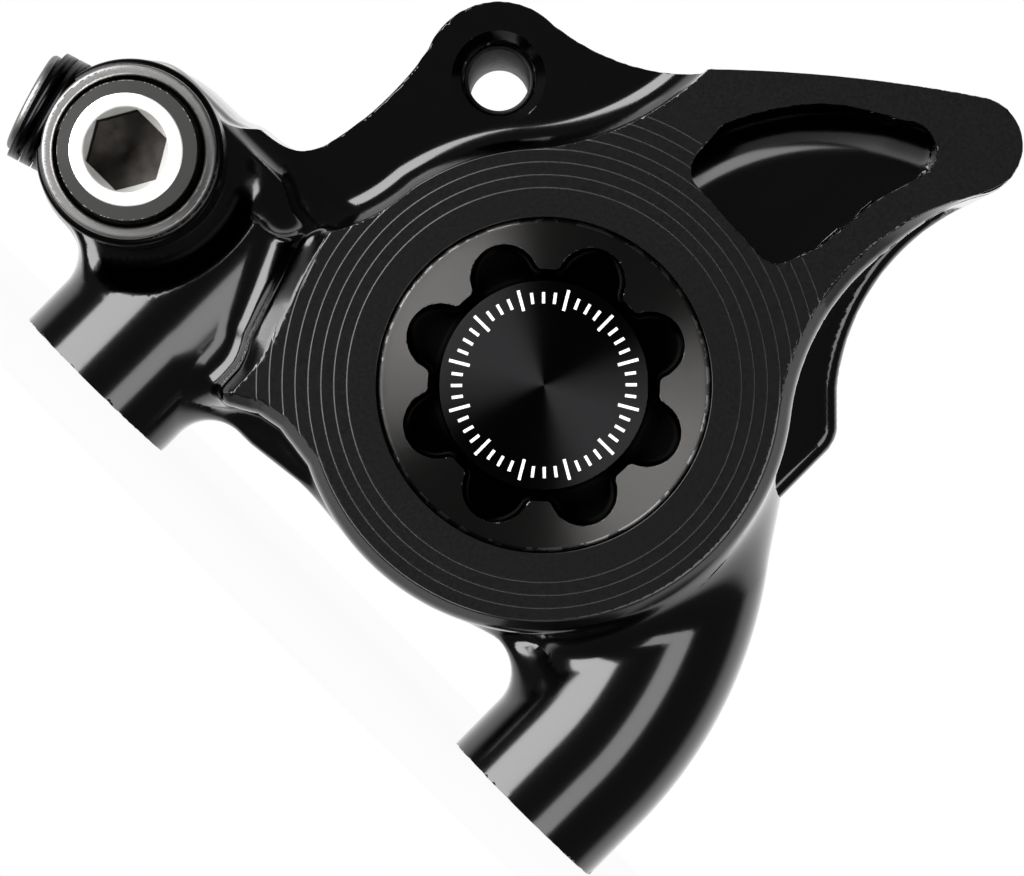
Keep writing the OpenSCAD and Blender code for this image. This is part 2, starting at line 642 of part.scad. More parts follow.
module pad_backing(y0) color(steel) difference() {
    slab(y0, y0 + backing_t) polygon(backing_outline());
    bar(pin, y0 - over, y0 + backing_t + over, pin_d / 2 + pin_pad_gap);
}
module outer_pad_backing() pad_backing(rotor_y - pad_back);
module inner_pad_backing() pad_backing(rotor_y + pad_back - backing_t);
module pad_friction(y0) color("#6b5a4a") difference() {
    slab(y0, y0 + friction_t) polygon(friction_outline());
    worn_face = y0 < rotor_y ? y0 + friction_t : y0;
    slab(worn_face - groove_depth, worn_face + groove_depth) polygon(strip(-far, far, groove_w / 2));
}
module outer_pad_friction() pad_friction(rotor_y - pad_face - friction_t);
module inner_pad_friction() pad_friction(rotor_y + pad_face);

// Sheet spring: two legs against the pads, joined by a strap over the pin
spring_half = pad_face + friction_t - spring_gap;
spring_low = friction_h / 2 + 0.8;
spring_r = tab_r - 0.3;
leg_half = spring_r + leg_flare;
strap_top = pin_up + spring_r - 0.25;
function leg_outline() = on_rotor(concat(
    arc([pin_up, 0], spring_r, 90, -90, 14),
    rounded_path([[spring_low, -leg_half, 0.5], [spring_low, leg_half, 0.5]],
        [pin_up, -spring_r], [pin_up, spring_r])));
module pad_spring() color(steel) difference() {
    union() {
        slab(rotor_y - spring_half, rotor_y - spring_half + spring_t) polygon(leg_outline());
        slab(rotor_y + spring_half - spring_t, rotor_y + spring_half) polygon(leg_outline());
        slab(rotor_y - spring_half, rotor_y + spring_half)
            polygon(strip(strap_top - spring_t, strap_top, strap_w / 2));
    }
    bar(pin, 0, far, pin_d / 2 + pin_pad_gap);
}

pin_end = ear_back + pin_proud;
clip_y = ear_back + 0.1;
clip_r = pin_d / 2 - clip_groove;
module pad_pin() color(steel) difference() {
    bar(pin, ear_front + pin_sunk, pin_end, pin_d / 2);
    bar(pin, ear_front, pin_end + over, pin_bore_d / 2);
    ring(pin, clip_y, clip_y + clip_t, clip_r, pin_d);
}
module pad_pin_clip() color(steel) difference() {
    ring(pin, clip_y + seal_gap, clip_y + clip_t - seal_gap, clip_r + seal_gap, pin_d / 2 + clip_w);
    slab(clip_y - over, clip_y + clip_t + over) polygon(strip(pin_up, far, clip_gap / 2));
}

// Banjo stack, from the seat outwards
eye_back = banjo_seat - inner_washer_t;
eye_front = eye_back - eye_t;
head_seat = eye_front + counterbore_depth - outer_washer_t;
head_top = head_seat - bolt_head_h;
stub_y = eye_back - eye_t / 2;
module along_stub() translate([banjo_x, stub_y, banjo_z]) rotate([0, 90 - stub_angle, 0]) children();
module stub_thread() {
    turns = floor((stub_reach - eye_r) / stub_pitch) + 2;
    crest = stub_d / 2;
    rotate_extrude() polygon(concat([[0, 0]],
        [for (i = [0:turns - 1]) each [[crest, stub_reach - (turns - i) * stub_pitch],
            [crest - stub_thread_h, stub_reach - (turns - i - 0.5) * stub_pitch]]],
        [[crest - 0.1, stub_reach], [0, stub_reach]]));
}
module banjo_fitting() color(black) difference() {
    union() {
        turned(banjo, eye_front)
            polygon([[0, 0], [eye_r - eye_bevel, 0], [eye_r, eye_bevel], [eye_r, eye_t], [0, eye_t]]);
        along_stub() stub_thread();
    }
    bar(banjo, eye_front - over, eye_front + counterbore_depth, bolt_head_d / 2 + counterbore_gap);
    bar(banjo, eye_front, eye_back + over, bolt_d / 2 + bolt_gap);
    bar(banjo, stub_y - eye_groove_w / 2, stub_y + eye_groove_w / 2, bolt_d / 2 + eye_groove_h);
    along_stub() cylinder(h = far, d = stub_bore_d);
}
module banjo_bolt() color(steel) difference() {
    union() {
        turned(banjo, head_top) polygon([[0, 0], [bolt_top_d / 2, 0], [bolt_head_d / 2, bolt_head_h / 2],
            [bolt_head_d / 2, bolt_head_h], [0, bolt_head_h]]);
        bar(banjo, head_seat - eps, banjo_seat + bolt_reach, bolt_d / 2);
    }
    hexagon(banjo, head_top - over, head_top + bolt_key_depth, bolt_key);
    bar(banjo, stub_y - bolt_bore_d, far, bolt_bore_d / 2);
    along_stub() cylinder(h = bolt_d, d = bolt_side_d);
}
// A sealing washer round the bolt
module washer(y0, y1, r) color(copper) ring(banjo, y0, y1, bolt_d / 2 + bolt_gap, r);
module outer_banjo_washer()
    washer(head_seat, head_seat + outer_washer_t, (bolt_head_d + counterbore_gap) / 2);
module inner_banjo_washer() washer(eye_back, banjo_seat, eye_r - 0.4);

// Bleed valve on the inboard end of the crossover passage
hex_start = bleed_face + bleed_lift;
nipple_start = hex_start + bleed_hex_h;
nipple_end = nipple_start + nipple_len;
module bleed_screw() color(steel) difference() {
    union() {
        bar(cross, bleed_face - bleed_len + bleed_lift, hex_start + eps, bleed_d / 2);
        hexagon(cross, hex_start, nipple_start, bleed_hex);
        bar(cross, nipple_start - eps, nipple_end, nipple_d / 2);
    }
    bar(cross, bleed_face - bleed_len / 2, far, nipple_bore_d / 2);
}
module bleed_cap() color(rubber) difference() {
    bar(cross, nipple_start, nipple_end + bleed_cap_wall, nipple_d / 2 + bleed_cap_wall);
    bar(cross, nipple_start - over, nipple_end + seal_gap, nipple_d / 2 + seal_gap);
}
module passage_plug() color(steel) plug_place() difference() {
    cylinder(h = plug_len, d = plug_d);
    translate([0, 0, plug_len - plug_key_depth])
        cylinder(h = plug_key_depth + over, d = plug_key / cos(30), $fn = 6);
}

caliper_body();
bore_cap();
cap_o_ring();
outer_piston();
inner_piston();
outer_piston_seal();
inner_piston_seal();
outer_dust_seal();
inner_dust_seal();
outer_pad_backing();
outer_pad_friction();
inner_pad_backing();
inner_pad_friction();
pad_spring();
pad_pin();
pad_pin_clip();
banjo_fitting();
banjo_bolt();
outer_banjo_washer();
inner_banjo_washer();
bleed_screw();
bleed_cap();
passage_plug();
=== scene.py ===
# %% [markdown]
# # A flat-mount disc brake caliper
#
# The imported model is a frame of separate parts, each already in its place and at its real size. This
# lesson dresses that frame. Parts that show their machining in the photograph are modelled again with
# their fillets, bevels and turned steps, and the rest keep their solids and get a finish.
# All sizes are written in millimetres, and a mesh is scaled to metres when it is made.

# %% Load the frame
import json
import math
import bpy
import numpy as np
from mathutils import Matrix, Vector


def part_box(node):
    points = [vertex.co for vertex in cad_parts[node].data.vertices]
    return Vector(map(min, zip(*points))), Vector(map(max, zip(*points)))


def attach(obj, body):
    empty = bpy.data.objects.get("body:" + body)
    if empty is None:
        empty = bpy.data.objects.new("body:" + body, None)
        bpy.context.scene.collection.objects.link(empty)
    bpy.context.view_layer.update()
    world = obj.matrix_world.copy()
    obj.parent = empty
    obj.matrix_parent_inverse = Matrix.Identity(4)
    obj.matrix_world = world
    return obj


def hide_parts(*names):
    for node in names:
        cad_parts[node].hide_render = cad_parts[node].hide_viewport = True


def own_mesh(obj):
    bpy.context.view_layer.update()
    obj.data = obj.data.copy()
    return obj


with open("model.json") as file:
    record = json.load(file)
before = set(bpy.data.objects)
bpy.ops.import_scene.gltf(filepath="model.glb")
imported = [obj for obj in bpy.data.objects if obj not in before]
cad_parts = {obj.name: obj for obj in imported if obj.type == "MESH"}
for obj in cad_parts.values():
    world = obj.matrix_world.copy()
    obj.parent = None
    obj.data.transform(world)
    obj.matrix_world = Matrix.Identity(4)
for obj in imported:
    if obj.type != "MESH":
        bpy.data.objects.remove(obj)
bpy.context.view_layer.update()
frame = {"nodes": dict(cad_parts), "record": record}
nodes = frame["nodes"]
MM = 0.001


def placed(name, data):
    piece = bpy.data.objects.new(name, data)
    bpy.context.scene.collection.objects.link(piece)
    return piece


def made_mesh(holder):
    mesh = bpy.data.meshes.new_from_object(holder.evaluated_get(bpy.context.evaluated_depsgraph_get()))
    bpy.data.objects.remove(holder)
    return mesh


print("parts in the frame:", len(nodes))

# %% [markdown]
# ## Camera
#
# The photograph looks straight at the outboard side, with the caliper rolled so that its mounting feet
# slope down to the right. A long lens far away gives the same flat perspective. The roll is part of
# the camera, so the caliper itself stays upright on its feet.

# %% Camera
IMAGE_W = 1024
FOCAL_PIXELS = 7607
SENSOR_W = 36
CAMERA_ROLL = math.radians(44.76)
CAMERA_PLACE = Vector((1.81, -430, 14.47)) * MM

camera_data = bpy.data.cameras.new("camera")
camera_data.sensor_width = SENSOR_W
camera_data.lens = FOCAL_PIXELS * SENSOR_W / IMAGE_W
camera_data.clip_start = 0.01
camera = placed("camera", camera_data)
image_right = Vector((math.cos(CAMERA_ROLL), 0, math.sin(CAMERA_ROLL)))
image_up = Vector((-math.sin(CAMERA_ROLL), 0, math.cos(CAMERA_ROLL)))
turn = Matrix((image_right, image_up, image_right.cross(image_up))).transposed().to_4x4()
camera.matrix_world = Matrix.Translation(CAMERA_PLACE) @ turn
bpy.context.scene.camera = camera
bpy.context.scene.view_settings.view_transform = "Standard"
print("lens in mm:", round(camera_data.lens, 1))

# %% [markdown]
# ## Helpers for colours and nodes
#
# A colour is picked as an sRGB hex value, as on a colour chart, and Blender works in linear light, so
# one function converts it. Another small function adds a node, sets it up and links it, which keeps
# each material below short enough to read. Shader nodes are called by their short names.

# %% Colour and node helpers
def linear(hex_value):
    channels = [int(hex_value[i:i + 2], 16) / 255 for i in (1, 3, 5)]
    return [c / 12.92 if c < 0.04045 else ((c + 0.055) / 1.055) ** 2.4 for c in channels] + [1]


def add(tree, kind, inputs=None, **settings):
    node = tree.nodes.new(kind if "Node" in kind else "ShaderNode" + kind)
    for name, value in settings.items():
        setattr(node, name, value)
    for name, value in (inputs or {}).items():
        if isinstance(value, bpy.types.Node):
            value = value.outputs[0]
        if isinstance(value, bpy.types.NodeSocket):
            tree.links.new(value, node.inputs[name])
        else:
            node.inputs[name].default_value = value
    return node


def new_material(name):
    material = bpy.data.materials.new(name)
    material.use_nodes = True
    material.node_tree.nodes.clear()
    return material, material.node_tree


def per_metre(size_mm):
    return 1 / (size_mm * MM)


# %% [markdown]
# ## Studio
#
# Glossy black metal shows mostly what surrounds it. The posts in the photograph carry two grey streaks
# and dark gaps between them, and from where those lie on a round post follows where the lights stood:
# a wide softbox to the left of the camera, a narrow one to its right, darkness round the camera and a
# white backdrop behind the caliper. The same studio is built here.

# %% Floor, backdrop and softboxes
LOOK_AT = Vector((0, 6, 18)) * MM
FLOOR_R = 75
FLOOR_SIDES = 96
PAPER_GLOW = 0.95
BACK_START = 0.22
BACK_FULL = 0.42
DARK_ROOM = 0.1

world = bpy.data.worlds.new("studio")
bpy.context.scene.world = world
world.use_nodes = True
world.node_tree.nodes.clear()
tree = world.node_tree
path = add(tree, "LightPath")
direction = add(tree, "TexCoord").outputs["Generated"]
inboard = add(tree, "SeparateXYZ", {0: direction}).outputs["Y"]
backdrop = add(tree, "MapRange", {
    "Value": inboard, "From Min": BACK_START, "From Max": BACK_FULL, "To Min": DARK_ROOM, "To Max": 1})
seen = add(tree, "Math", {0: backdrop, 1: path.outputs["Is Camera Ray"]}, operation="MAXIMUM")
light = add(tree, "Background", {"Color": linear("#FFFFFF"), "Strength": seen})
add(tree, "OutputWorld", {"Surface": light})

floor_material, tree = new_material("studio floor, white paper")
path = add(tree, "LightPath")
shown = add(tree, "Math", {0: path.outputs["Is Camera Ray"], 1: path.outputs["Is Glossy Ray"]},
            operation="MAXIMUM")
shown = add(tree, "Math", {0: shown, 1: path.outputs["Is Transmission Ray"]}, operation="MAXIMUM")
share = add(tree, "Math", {0: shown, 1: PAPER_GLOW}, operation="MULTIPLY")
paper = add(tree, "BsdfDiffuse", {"Color": linear("#F2F2F0")})
glow = add(tree, "Emission", {"Color": linear("#FFFFFF"), "Strength": 1})
mixed = add(tree, "MixShader", {0: share, 1: paper, 2: glow})
add(tree, "OutputMaterial", {"Surface": mixed})

floor_mesh = bpy.data.meshes.new("floor")
angles = np.linspace(0, 2 * math.pi, FLOOR_SIDES, False)
rim = [(FLOOR_R * MM * math.cos(a), FLOOR_R * MM * math.sin(a), 0) for a in angles]
floor_mesh.from_pydata(rim, [], [range(FLOOR_SIDES)])
floor_mesh.materials.append(floor_material)
floor = placed("floor", floor_mesh)
floor.visible_glossy = False
floor.visible_shadow = False


def softbox(name, lean, turn, distance, depth, width, power):
    p = math.radians(lean)
    t = math.radians(turn)
    away = Vector((math.sin(p) * math.cos(t), -math.cos(p), math.sin(p) * math.sin(t)))
    out = Vector((math.cos(p) * math.cos(t), math.sin(p), math.cos(p) * math.sin(t)))
    data = bpy.data.lights.new(name, "AREA")
    data.shape = "RECTANGLE"
    data.size = depth
    data.size_y = width
    data.energy = power
    lamp = placed(name, data)
    axes = Matrix((out, away.cross(out), away)).transposed().to_4x4()
    lamp.matrix_world = Matrix.Translation(LOOK_AT + away * distance) @ axes


softbox("softbox_left", lean=46, turn=196, distance=0.6, depth=0.46, width=0.8, power=11.5)
softbox("softbox_right", lean=32, turn=3, distance=0.6, depth=0.24, width=0.4, power=1.35)

# %% [markdown]
# ## Shapes from distances
#
# The body is milled from one block, so its forms flow into each other through fillets that no single
# primitive has. One way is to model it by hand and bevel edge loops. Another, used here, is to describe
# it by a distance: negative inside the metal and positive outside. Two shapes then join through a
# fillet of a set radius with one formula, and a cut leaves a broken edge with another.

# %% Joining and cutting distances
def soft_union(a, b, r):
    return np.maximum(np.minimum(a, b), r) - np.hypot(np.maximum(r - a, 0), np.maximum(r - b, 0))


def soft_common(a, b, r):
    return np.minimum(np.maximum(a, b), -r) + np.hypot(np.maximum(a + r, 0), np.maximum(b + r, 0))


def soft_cut(a, b, r):
    return soft_common(a, -b, r)


def between(y, low, high):
    return np.maximum(low - y, y - high)


def round_bar(x, z, centre, radius):
    return np.hypot(x - centre[0], z - centre[1]) - radius


def blend(value, start, end):
    t = np.clip((value - start) / (end - start), 0, 1)
    return t * t * (3 - 2 * t)


# %% [markdown]
# Flat outlines are drawn as arcs and corners, as on a workshop drawing. The distance to such an outline
# is worked out once on a fine grid of the side view, and read from there afterwards.

# %% Outlines and their distance
TABLE_CELL = 0.15
TABLE_LOW = np.array((-34.0, -3.0))
TABLE_HIGH = np.array((27.0, 51.0))


def polar(radius, degrees):
    return radius * np.array((math.cos(math.radians(degrees)), math.sin(math.radians(degrees))))


def arc(centre, radius, start, end, step=1.5):
    count = max(2, int(abs(end - start) / step) + 1)
    return [np.asarray(centre) + polar(radius, a) for a in np.linspace(start, end, count)]


def heading(v):
    return math.degrees(math.atan2(v[1], v[0]))


def corner(a, b, c, radius):
    a, b, c = np.array(a[:2]), np.array(b[:2]), np.array(c[:2])
    p = (a - b) / np.linalg.norm(a - b)
    q = (c - b) / np.linalg.norm(c - b)
    half = math.acos(np.clip(p @ q, -1, 1)) / 2
    middle = b + (p + q) / np.linalg.norm(p + q) * radius / math.sin(half)
    first = heading(b + p * radius / math.tan(half) - middle)
    last = heading(b + q * radius / math.tan(half) - middle)
    return arc(middle, radius, first, first + (last - first + 180) % 360 - 180, 6)


def rounded(corners):
    count = len(corners)
    return [p for i in range(count)
            for p in corner(corners[i - 1], corners[i], corners[(i + 1) % count], corners[i][2])]


def bowed(p, q, sag, count=12):
    across = q - p
    side = np.array((-across[1], across[0])) / np.linalg.norm(across)
    return [p + across * t + side * sag * 4 * t * (1 - t) for t in np.linspace(0, 1, count)[1:-1]]


def outline(points):
    gx = np.arange(TABLE_LOW[0], TABLE_HIGH[0], TABLE_CELL, np.float32)[:, None]
    gz = np.arange(TABLE_LOW[1], TABLE_HIGH[1], TABLE_CELL, np.float32)[None, :]
    best = np.full((gx.size, gz.size), 1e6, np.float32)
    inside = np.zeros(best.shape, bool)
    for p, q in zip(points, points[1:] + points[:1]):
        dx, dz = q - p
        if abs(dx) + abs(dz) < 1e-6:
            continue
        t = np.clip(((gx - p[0]) * dx + (gz - p[1]) * dz) / (dx * dx + dz * dz), 0, 1)
        best = np.minimum(best, (gx - p[0] - t * dx) ** 2 + (gz - p[1] - t * dz) ** 2)
        if dz != 0:
            inside ^= ((p[1] > gz) != (q[1] > gz)) & (gx < (gz - p[1]) * dx / dz + p[0])
    table = np.sqrt(best) * np.where(inside, -1, 1)

    def distance(x, z):
        u = np.clip((x - TABLE_LOW[0]) / TABLE_CELL, 0, table.shape[0] - 2)
        v = np.clip((z - TABLE_LOW[1]) / TABLE_CELL, 0, table.shape[1] - 2)
        i, k = u.astype(int), v.astype(int)
        u, v = u - i, v - k
        low = table[i, k] * (1 - v) + table[i, k + 1] * v
        high = table[i + 1, k] * (1 - v) + table[i + 1, k + 1] * v
        return low * (1 - u) + high * u

    return distance


# %% [markdown]
# A surface is then drawn where the distance changes sign. Every grid cell that the surface crosses gets
# one point. Where the cell holds an edge of the part, the point is placed on that edge from the surface
# directions around it, so that edges stay crisp. The grid may be finer in one direction: the turned
# steps on the front are a tenth of a millimetre high, and only the depth needs fine cells there.

# %% Drawing the surface of a distance
NORMAL_STEP = 0.012
SHADE_STEP = 0.05
EDGE_SHARE = 0.015
CELL_SLACK = 0.5


def slopes(field, p, step=NORMAL_STEP):
    columns = []
    for axis in range(3):
        shift = np.zeros(3)
        shift[axis] = step
        columns.append(field(*(p + shift).T) - field(*(p - shift).T))
    g = np.stack(columns, 1)
    return g / np.maximum(np.linalg.norm(g, axis=1, keepdims=True), 1e-9)


def area(p, q, r):
    return np.linalg.norm(np.cross(q - p, r - p), axis=1)


def split(where, quads):
    a, b, c, d = [where[quads[:, i]] for i in range(4)]
    first = np.minimum(area(a, b, c), area(a, c, d))
    second = np.minimum(area(a, b, d), area(b, c, d))
    along = quads[first >= second]
    across = quads[first < second]
    return np.concatenate([along[:, [0, 1, 2]], along[:, [0, 2, 3]],
                           across[:, [0, 1, 3]], across[:, [1, 2, 3]]])


def crossings(values, axes, turns):
    cell_shape = np.array(values.shape) - 1
    points, around, flip, kept = [], [], [], []
    for axis in range(3):
        low = np.take(values, range(cell_shape[axis]), axis)
        high = np.take(values, range(1, cell_shape[axis] + 1), axis)
        at = np.argwhere((low < 0) != (high < 0))
        if turns:
            at = at[(at[:, 2] >= 1) & (at[:, 2] < axes[2].size - 1)]
        a = low[tuple(at.T)]
        b = high[tuple(at.T)]
        p = np.stack([axes[i][at[:, i]] for i in range(3)], 1).astype(float)
        p[:, axis] += (a / (a - b)) * (axes[axis][at[:, axis] + 1] - axes[axis][at[:, axis]])
        u, v = (axis + 1) % 3, (axis + 2) % 3
        ring = []
        for du, dv in ((-1, -1), (0, -1), (0, 0), (-1, 0)):
            cell = at.copy()
            cell[:, u] += du
            cell[:, v] += dv
            ring.append(np.ravel_multi_index(tuple(cell.T), cell_shape))
        points.append(p)
        around.append(np.stack(ring, 1))
        flip.append(a > 0)
        kept.append((at[:, 2] >= 2) & (at[:, 2] < turns + 2) if turns else at[:, 2] >= 0)
    return [np.concatenate(v) for v in (points, around, flip, kept)]


def contour(field, xs, ys, zs, turns=None):
    axes = [np.asarray(a, np.float32) for a in (xs, ys, zs)]
    values = field(axes[0][:, None, None], axes[1][None, :, None], axes[2][None, None, :])
    values = np.broadcast_to(values, [a.size for a in axes])
    cell_shape = np.array(values.shape) - 1
    points, around, flip, kept = crossings(values, axes, turns)
    normals = slopes(field, points)
    cells, faces = np.unique(around, return_inverse=True)
    faces = faces.reshape(around.shape)
    owner = faces.ravel()

    def total(weights):
        return np.bincount(owner, np.repeat(weights, 4), len(cells))

    count = total(np.ones(len(points)))
    middle = np.stack([total(points[:, i]) / count for i in range(3)], 1)
    gap = np.einsum("ei,efi->ef", normals, points[:, None, :] - middle[faces]).ravel()
    matrix = np.empty((len(cells), 3, 3))
    target = np.empty((len(cells), 3))
    for i in range(3):
        target[:, i] = np.bincount(owner, np.repeat(normals[:, i], 4) * gap, len(cells))
        for j in range(3):
            matrix[:, i, j] = total(normals[:, i] * normals[:, j])
    share, turn = np.linalg.eigh(matrix)
    pull = np.where(share > EDGE_SHARE * share[:, 2:], 1 / np.maximum(share, 1e-9), 0)
    off = pull[:, :, None] * (turn.transpose(0, 2, 1) @ target[:, :, None])
    where = middle + (turn @ off)[:, :, 0]
    corner_index = np.stack(np.unravel_index(cells, cell_shape), 1)
    lowest = np.stack([axes[i][corner_index[:, i]] for i in range(3)], 1)
    highest = np.stack([axes[i][corner_index[:, i] + 1] for i in range(3)], 1)
    slack = CELL_SLACK * (highest - lowest)
    where = np.clip(where, lowest - slack, highest + slack)
    faces[flip] = faces[flip][:, ::-1]
    used, faces = np.unique(faces[kept], return_inverse=True)
    return where[used], split(where[used], faces.reshape(-1, 4))


def turned_contour(field, centre, rs, ys, turns):
    around = 2 * math.pi / turns

    def unrolled(r, y, s):
        return field(centre[0] + r * np.cos(s * around), y, centre[1] + r * np.sin(s * around))

    where, faces = contour(unrolled, rs, ys, np.arange(-2, turns + 3), turns)
    angle = where[:, 2] * around
    x = centre[0] + where[:, 0] * np.cos(angle)
    z = centre[1] + where[:, 0] * np.sin(angle)
    return np.stack([x, where[:, 1], z], 1), faces


# %% [markdown]
# Large flat faces don't need small squares, so neighbours that lie in one plane are merged. The shading
# direction at each corner comes from the distance itself, which makes reflections on the round posts as
# smooth as on the real part. At a crisp edge it is read a little inside each face instead, so that the
# edge stays crisp.

# %% Turning a surface into a piece
FLAT_ANGLE = math.radians(0.3)
CURVED_COS = math.cos(math.radians(3))
ACROSS_COS = math.cos(math.radians(14))
INSET = 0.4
LONG_STRIP = 1.2
FACING_COS = math.cos(math.radians(1.2))
WELD_GAP = 0.0005
CELLS_BEFORE, CELLS_AFTER = 2.37, 3


def corner_normals(mesh, field):
    corners = np.empty(len(mesh.vertices) * 3)
    mesh.vertices.foreach_get("co", corners)
    corners = corners.reshape(-1, 3) / MM
    order = np.empty(len(mesh.loops), int)
    mesh.loops.foreach_get("vertex_index", order)
    tri = corners[order].reshape(-1, 3, 3)
    flat = np.cross(tri[:, 1] - tri[:, 0], tri[:, 2] - tri[:, 0])
    flat /= np.maximum(np.linalg.norm(flat, axis=1, keepdims=True), 1e-12)
    flat = np.repeat(flat, 3, 0)
    normals = slopes(field, corners, SHADE_STEP)[order]
    within = tri + INSET * (tri.mean(1, keepdims=True) - tri)
    inside = slopes(field, within.reshape(-1, 3))
    longest = np.linalg.norm(tri - np.roll(tri, 1, 1), axis=2).max(1)
    limit = np.where(longest > LONG_STRIP, CURVED_COS, ACROSS_COS)
    across = (normals * inside).sum(1) < np.repeat(limit, 3)
    normals[across] = inside[across]
    facing = (np.abs(flat[:, 1]) > FACING_COS) & ((normals * flat).sum(1) < CURVED_COS)
    normals[facing] = flat[facing]
    return normals


def mesh_piece(name, field, surfaces):
    points, faces, base = [], [], 0
    for where, triangles in surfaces:
        points.append(where)
        faces.append(triangles + base)
        base += len(where)
    rough = bpy.data.meshes.new(name + "_cells")
    rough.from_pydata((np.concatenate(points) * MM).tolist(), [], np.concatenate(faces).tolist())
    holder = placed(name + "_cells", rough)
    holder.modifiers.new("close the seam", "WELD").merge_threshold = WELD_GAP * MM
    merge = holder.modifiers.new("merge flats", "DECIMATE")
    merge.decimate_type = "DISSOLVE"
    merge.angle_limit = FLAT_ANGLE
    holder.modifiers.new("triangles", "TRIANGULATE")
    mesh = made_mesh(holder)
    bpy.data.meshes.remove(rough)
    mesh.name = name
    mesh.polygons.foreach_set("use_smooth", [True] * len(mesh.polygons))
    mesh.normals_split_custom_set(corner_normals(mesh, field).tolist())
    print(name, "triangles:", len(mesh.polygons))
    return placed(name, mesh)


def grid(low, high, cell):
    return [np.arange(a - CELLS_BEFORE * cell, b + CELLS_AFTER * cell, cell) for a, b in zip(low, high)]


def grid_piece(name, field, low, high, cell):
    return mesh_piece(name, field, [contour(field, *grid(low, high, cell))])


def node_box(name):
    low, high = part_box(name)
    return np.array(low) / MM, np.array(high) / MM


# %% [markdown]
# ## Body
#
# The body's main places come from the frame: the bore from its cap, the pin and the banjo from their
# own parts. The remaining sizes are those of the drawing: a round boss of 13.1 mm, a wing that sweeps
# up to a 2.75 mm tip, two ears round the pad pin and two mounting posts.

# %% Places from the frame
cap_low, cap_high = node_box("bore_cap")
pin_low, pin_high = node_box("pad_pin")
bolt_low, bolt_high = node_box("banjo_bolt")
bleed_low, bleed_high = node_box("bleed_screw")
body_low, body_high = node_box("caliper_body")
plug_low, plug_high = node_box("passage_plug")
eye_low, eye_high = node_box("banjo_fitting")
washer_low, washer_high = node_box("inner_banjo_washer")
bore = ((cap_low + cap_high) / 2)[[0, 2]]
pin = ((pin_low + pin_high) / 2)[[0, 2]]
banjo = ((bolt_low + bolt_high) / 2)[[0, 2]]
cross = ((bleed_low + bleed_high) / 2)[[0, 2]]
cap_r = (cap_high[0] - cap_low[0]) / 2
banjo_seat = washer_high[1]
radial = (pin - bore) / np.linalg.norm(pin - bore)
tangent = np.array((radial[1], -radial[0]))


def at(up, along):
    return bore + up * radial + along * tangent


def up_and_along(x, z):
    dx, dz = x - bore[0], z - bore[1]
    return dx * radial[0] + dz * radial[1], dx * tangent[0] + dz * tangent[1]


print("bore", bore.round(2), "pin", pin.round(2), "banjo", banjo.round(2))

# %% Sizes of the body
MOUNT_PITCH = 34
POST_R = 5.3
LEAN_START = 4
LEAN_R = 26
MOUNT_TAP_R = 2.1
MOUNT_TAP_DEPTH = 9
BOSS_R = 13.1
BOSS_FRONT = body_low[1] if body_low[1] > -9 else -8.4
STEP_COUNT = 8
STEP_W = 0.72
STEP_H = 0.12
STEP_R = 10.9
RISER_W = 0.05
WING_FRONT = BOSS_FRONT + STEP_COUNT * STEP_H
EDGE_FLARE = 0.7
ARM_FLARE = 0.6
ARM_SHALLOW = 0.45
EDGE_DEPTH = 1.0
TOP_FADE, TIP_FADE, REAR_FADE = (25, 33), (36, 43), (0, 2)
EAR_UP_FADE, EAR_ALONG_FADE = (6.5, 9.8), (-12.5, -10)
ARM_FADE, FOOT_FADE = (8, 11), (6.3, 8.5)
FLARE_END = 4
CRISP = 0.03
SKIN = 0.06
BEVEL_ROUND = 0.25
OUTER_FLOOR, SLOT_OUTER, SLOT_INNER, INNER_FLOOR = 6, 10, 16, 20
EAR_FRONT, EAR_BACK = -0.5, 26
WING_BACK = 28
BOSS_BACK = body_high[1]
BLEED_FACE = BOSS_BACK - 1.5
CHAMBER_BACK = 29
HOLLOW_R, HOLLOW_ANGLE = 14.3, 37.6
TIP_R, TIP_ANGLE = 2.75, 146
RIDGE_R, RIDGE_ANGLE, RIDGE_END = 15.6, 138.5, -0.5
EAR_R = 4.3
VALLEY_R, VALLEY_FRONT = 3.25, 7.35
BANJO_BOSS_R, BANJO_END_R = 5.8, 5.4
SEAT_CLEAR_R = 7.1
ROTOR_R, ROTOR_REACH = 71.8, 62
POCKET_DEPTH, POCKET_END_R = 6.5, 1.65
POCKET_TOP_C, POCKET_TOP_R, POCKET_COVE = (12.83, 28.63), 16.3, 3
EAR_FILLET = 2.4
POST_FILLET = 2.4
ROOF_SLOPE, ROOF_BACK = 0.15, 4
PIN_ACCESS_R, PIN_HOLE_R, PIN_SUNK = 2.12, 2.05, 3
PIN_BEVEL, PIN_BEVEL_SLOPE = 0.54, 1.2
BORE_R = 8.03
SEAL_GROOVES = ((0.9, 1.1, 0.9), (3.2, 2.0, 1.3))
PAD_ROOM_LOW, PAD_ROOM_HALF = -8.3, 10.3
BLEED_TAP_R, PLUG_TAP_R, BANJO_TAP_R = 3.05, 2.05, 3.04
BLOCK_ROUND, SHOULDER_ROUND, ROOF_ROUND, BOSS_ROUND = 0.8, 0.5, 0.3, 1.0
SHOULDER_FILLET, BRIDGE_FILLET, UNDER_FILLET = 2.2, 0.6, 0.8
INNER_FILLET, INBOARD_FILLET = 1.5, 1.2
SEAT_ROUND, SEAT_EDGE, TAP_EDGE = 1.3, 0.8, 0.2
BEND_ANGLE = math.radians(44)
BOSS_START, ARM_ANGLE = 243, 168
TIP_END, TOP_BOW, ARM_BOW = 121, -0.35, 0.35
HEEL_ANGLE, HEEL_R = 219, 2.2
EAR_TOP, EAR_NECK, EAR_BOW, NECK_BOW = 88, 203, 0.8, 0.38
VALLEY_TOP, VALLEY_FLOOR = -8, -88
NOSE_TOP_R, NOSE_LOW_R = 6, 5.1

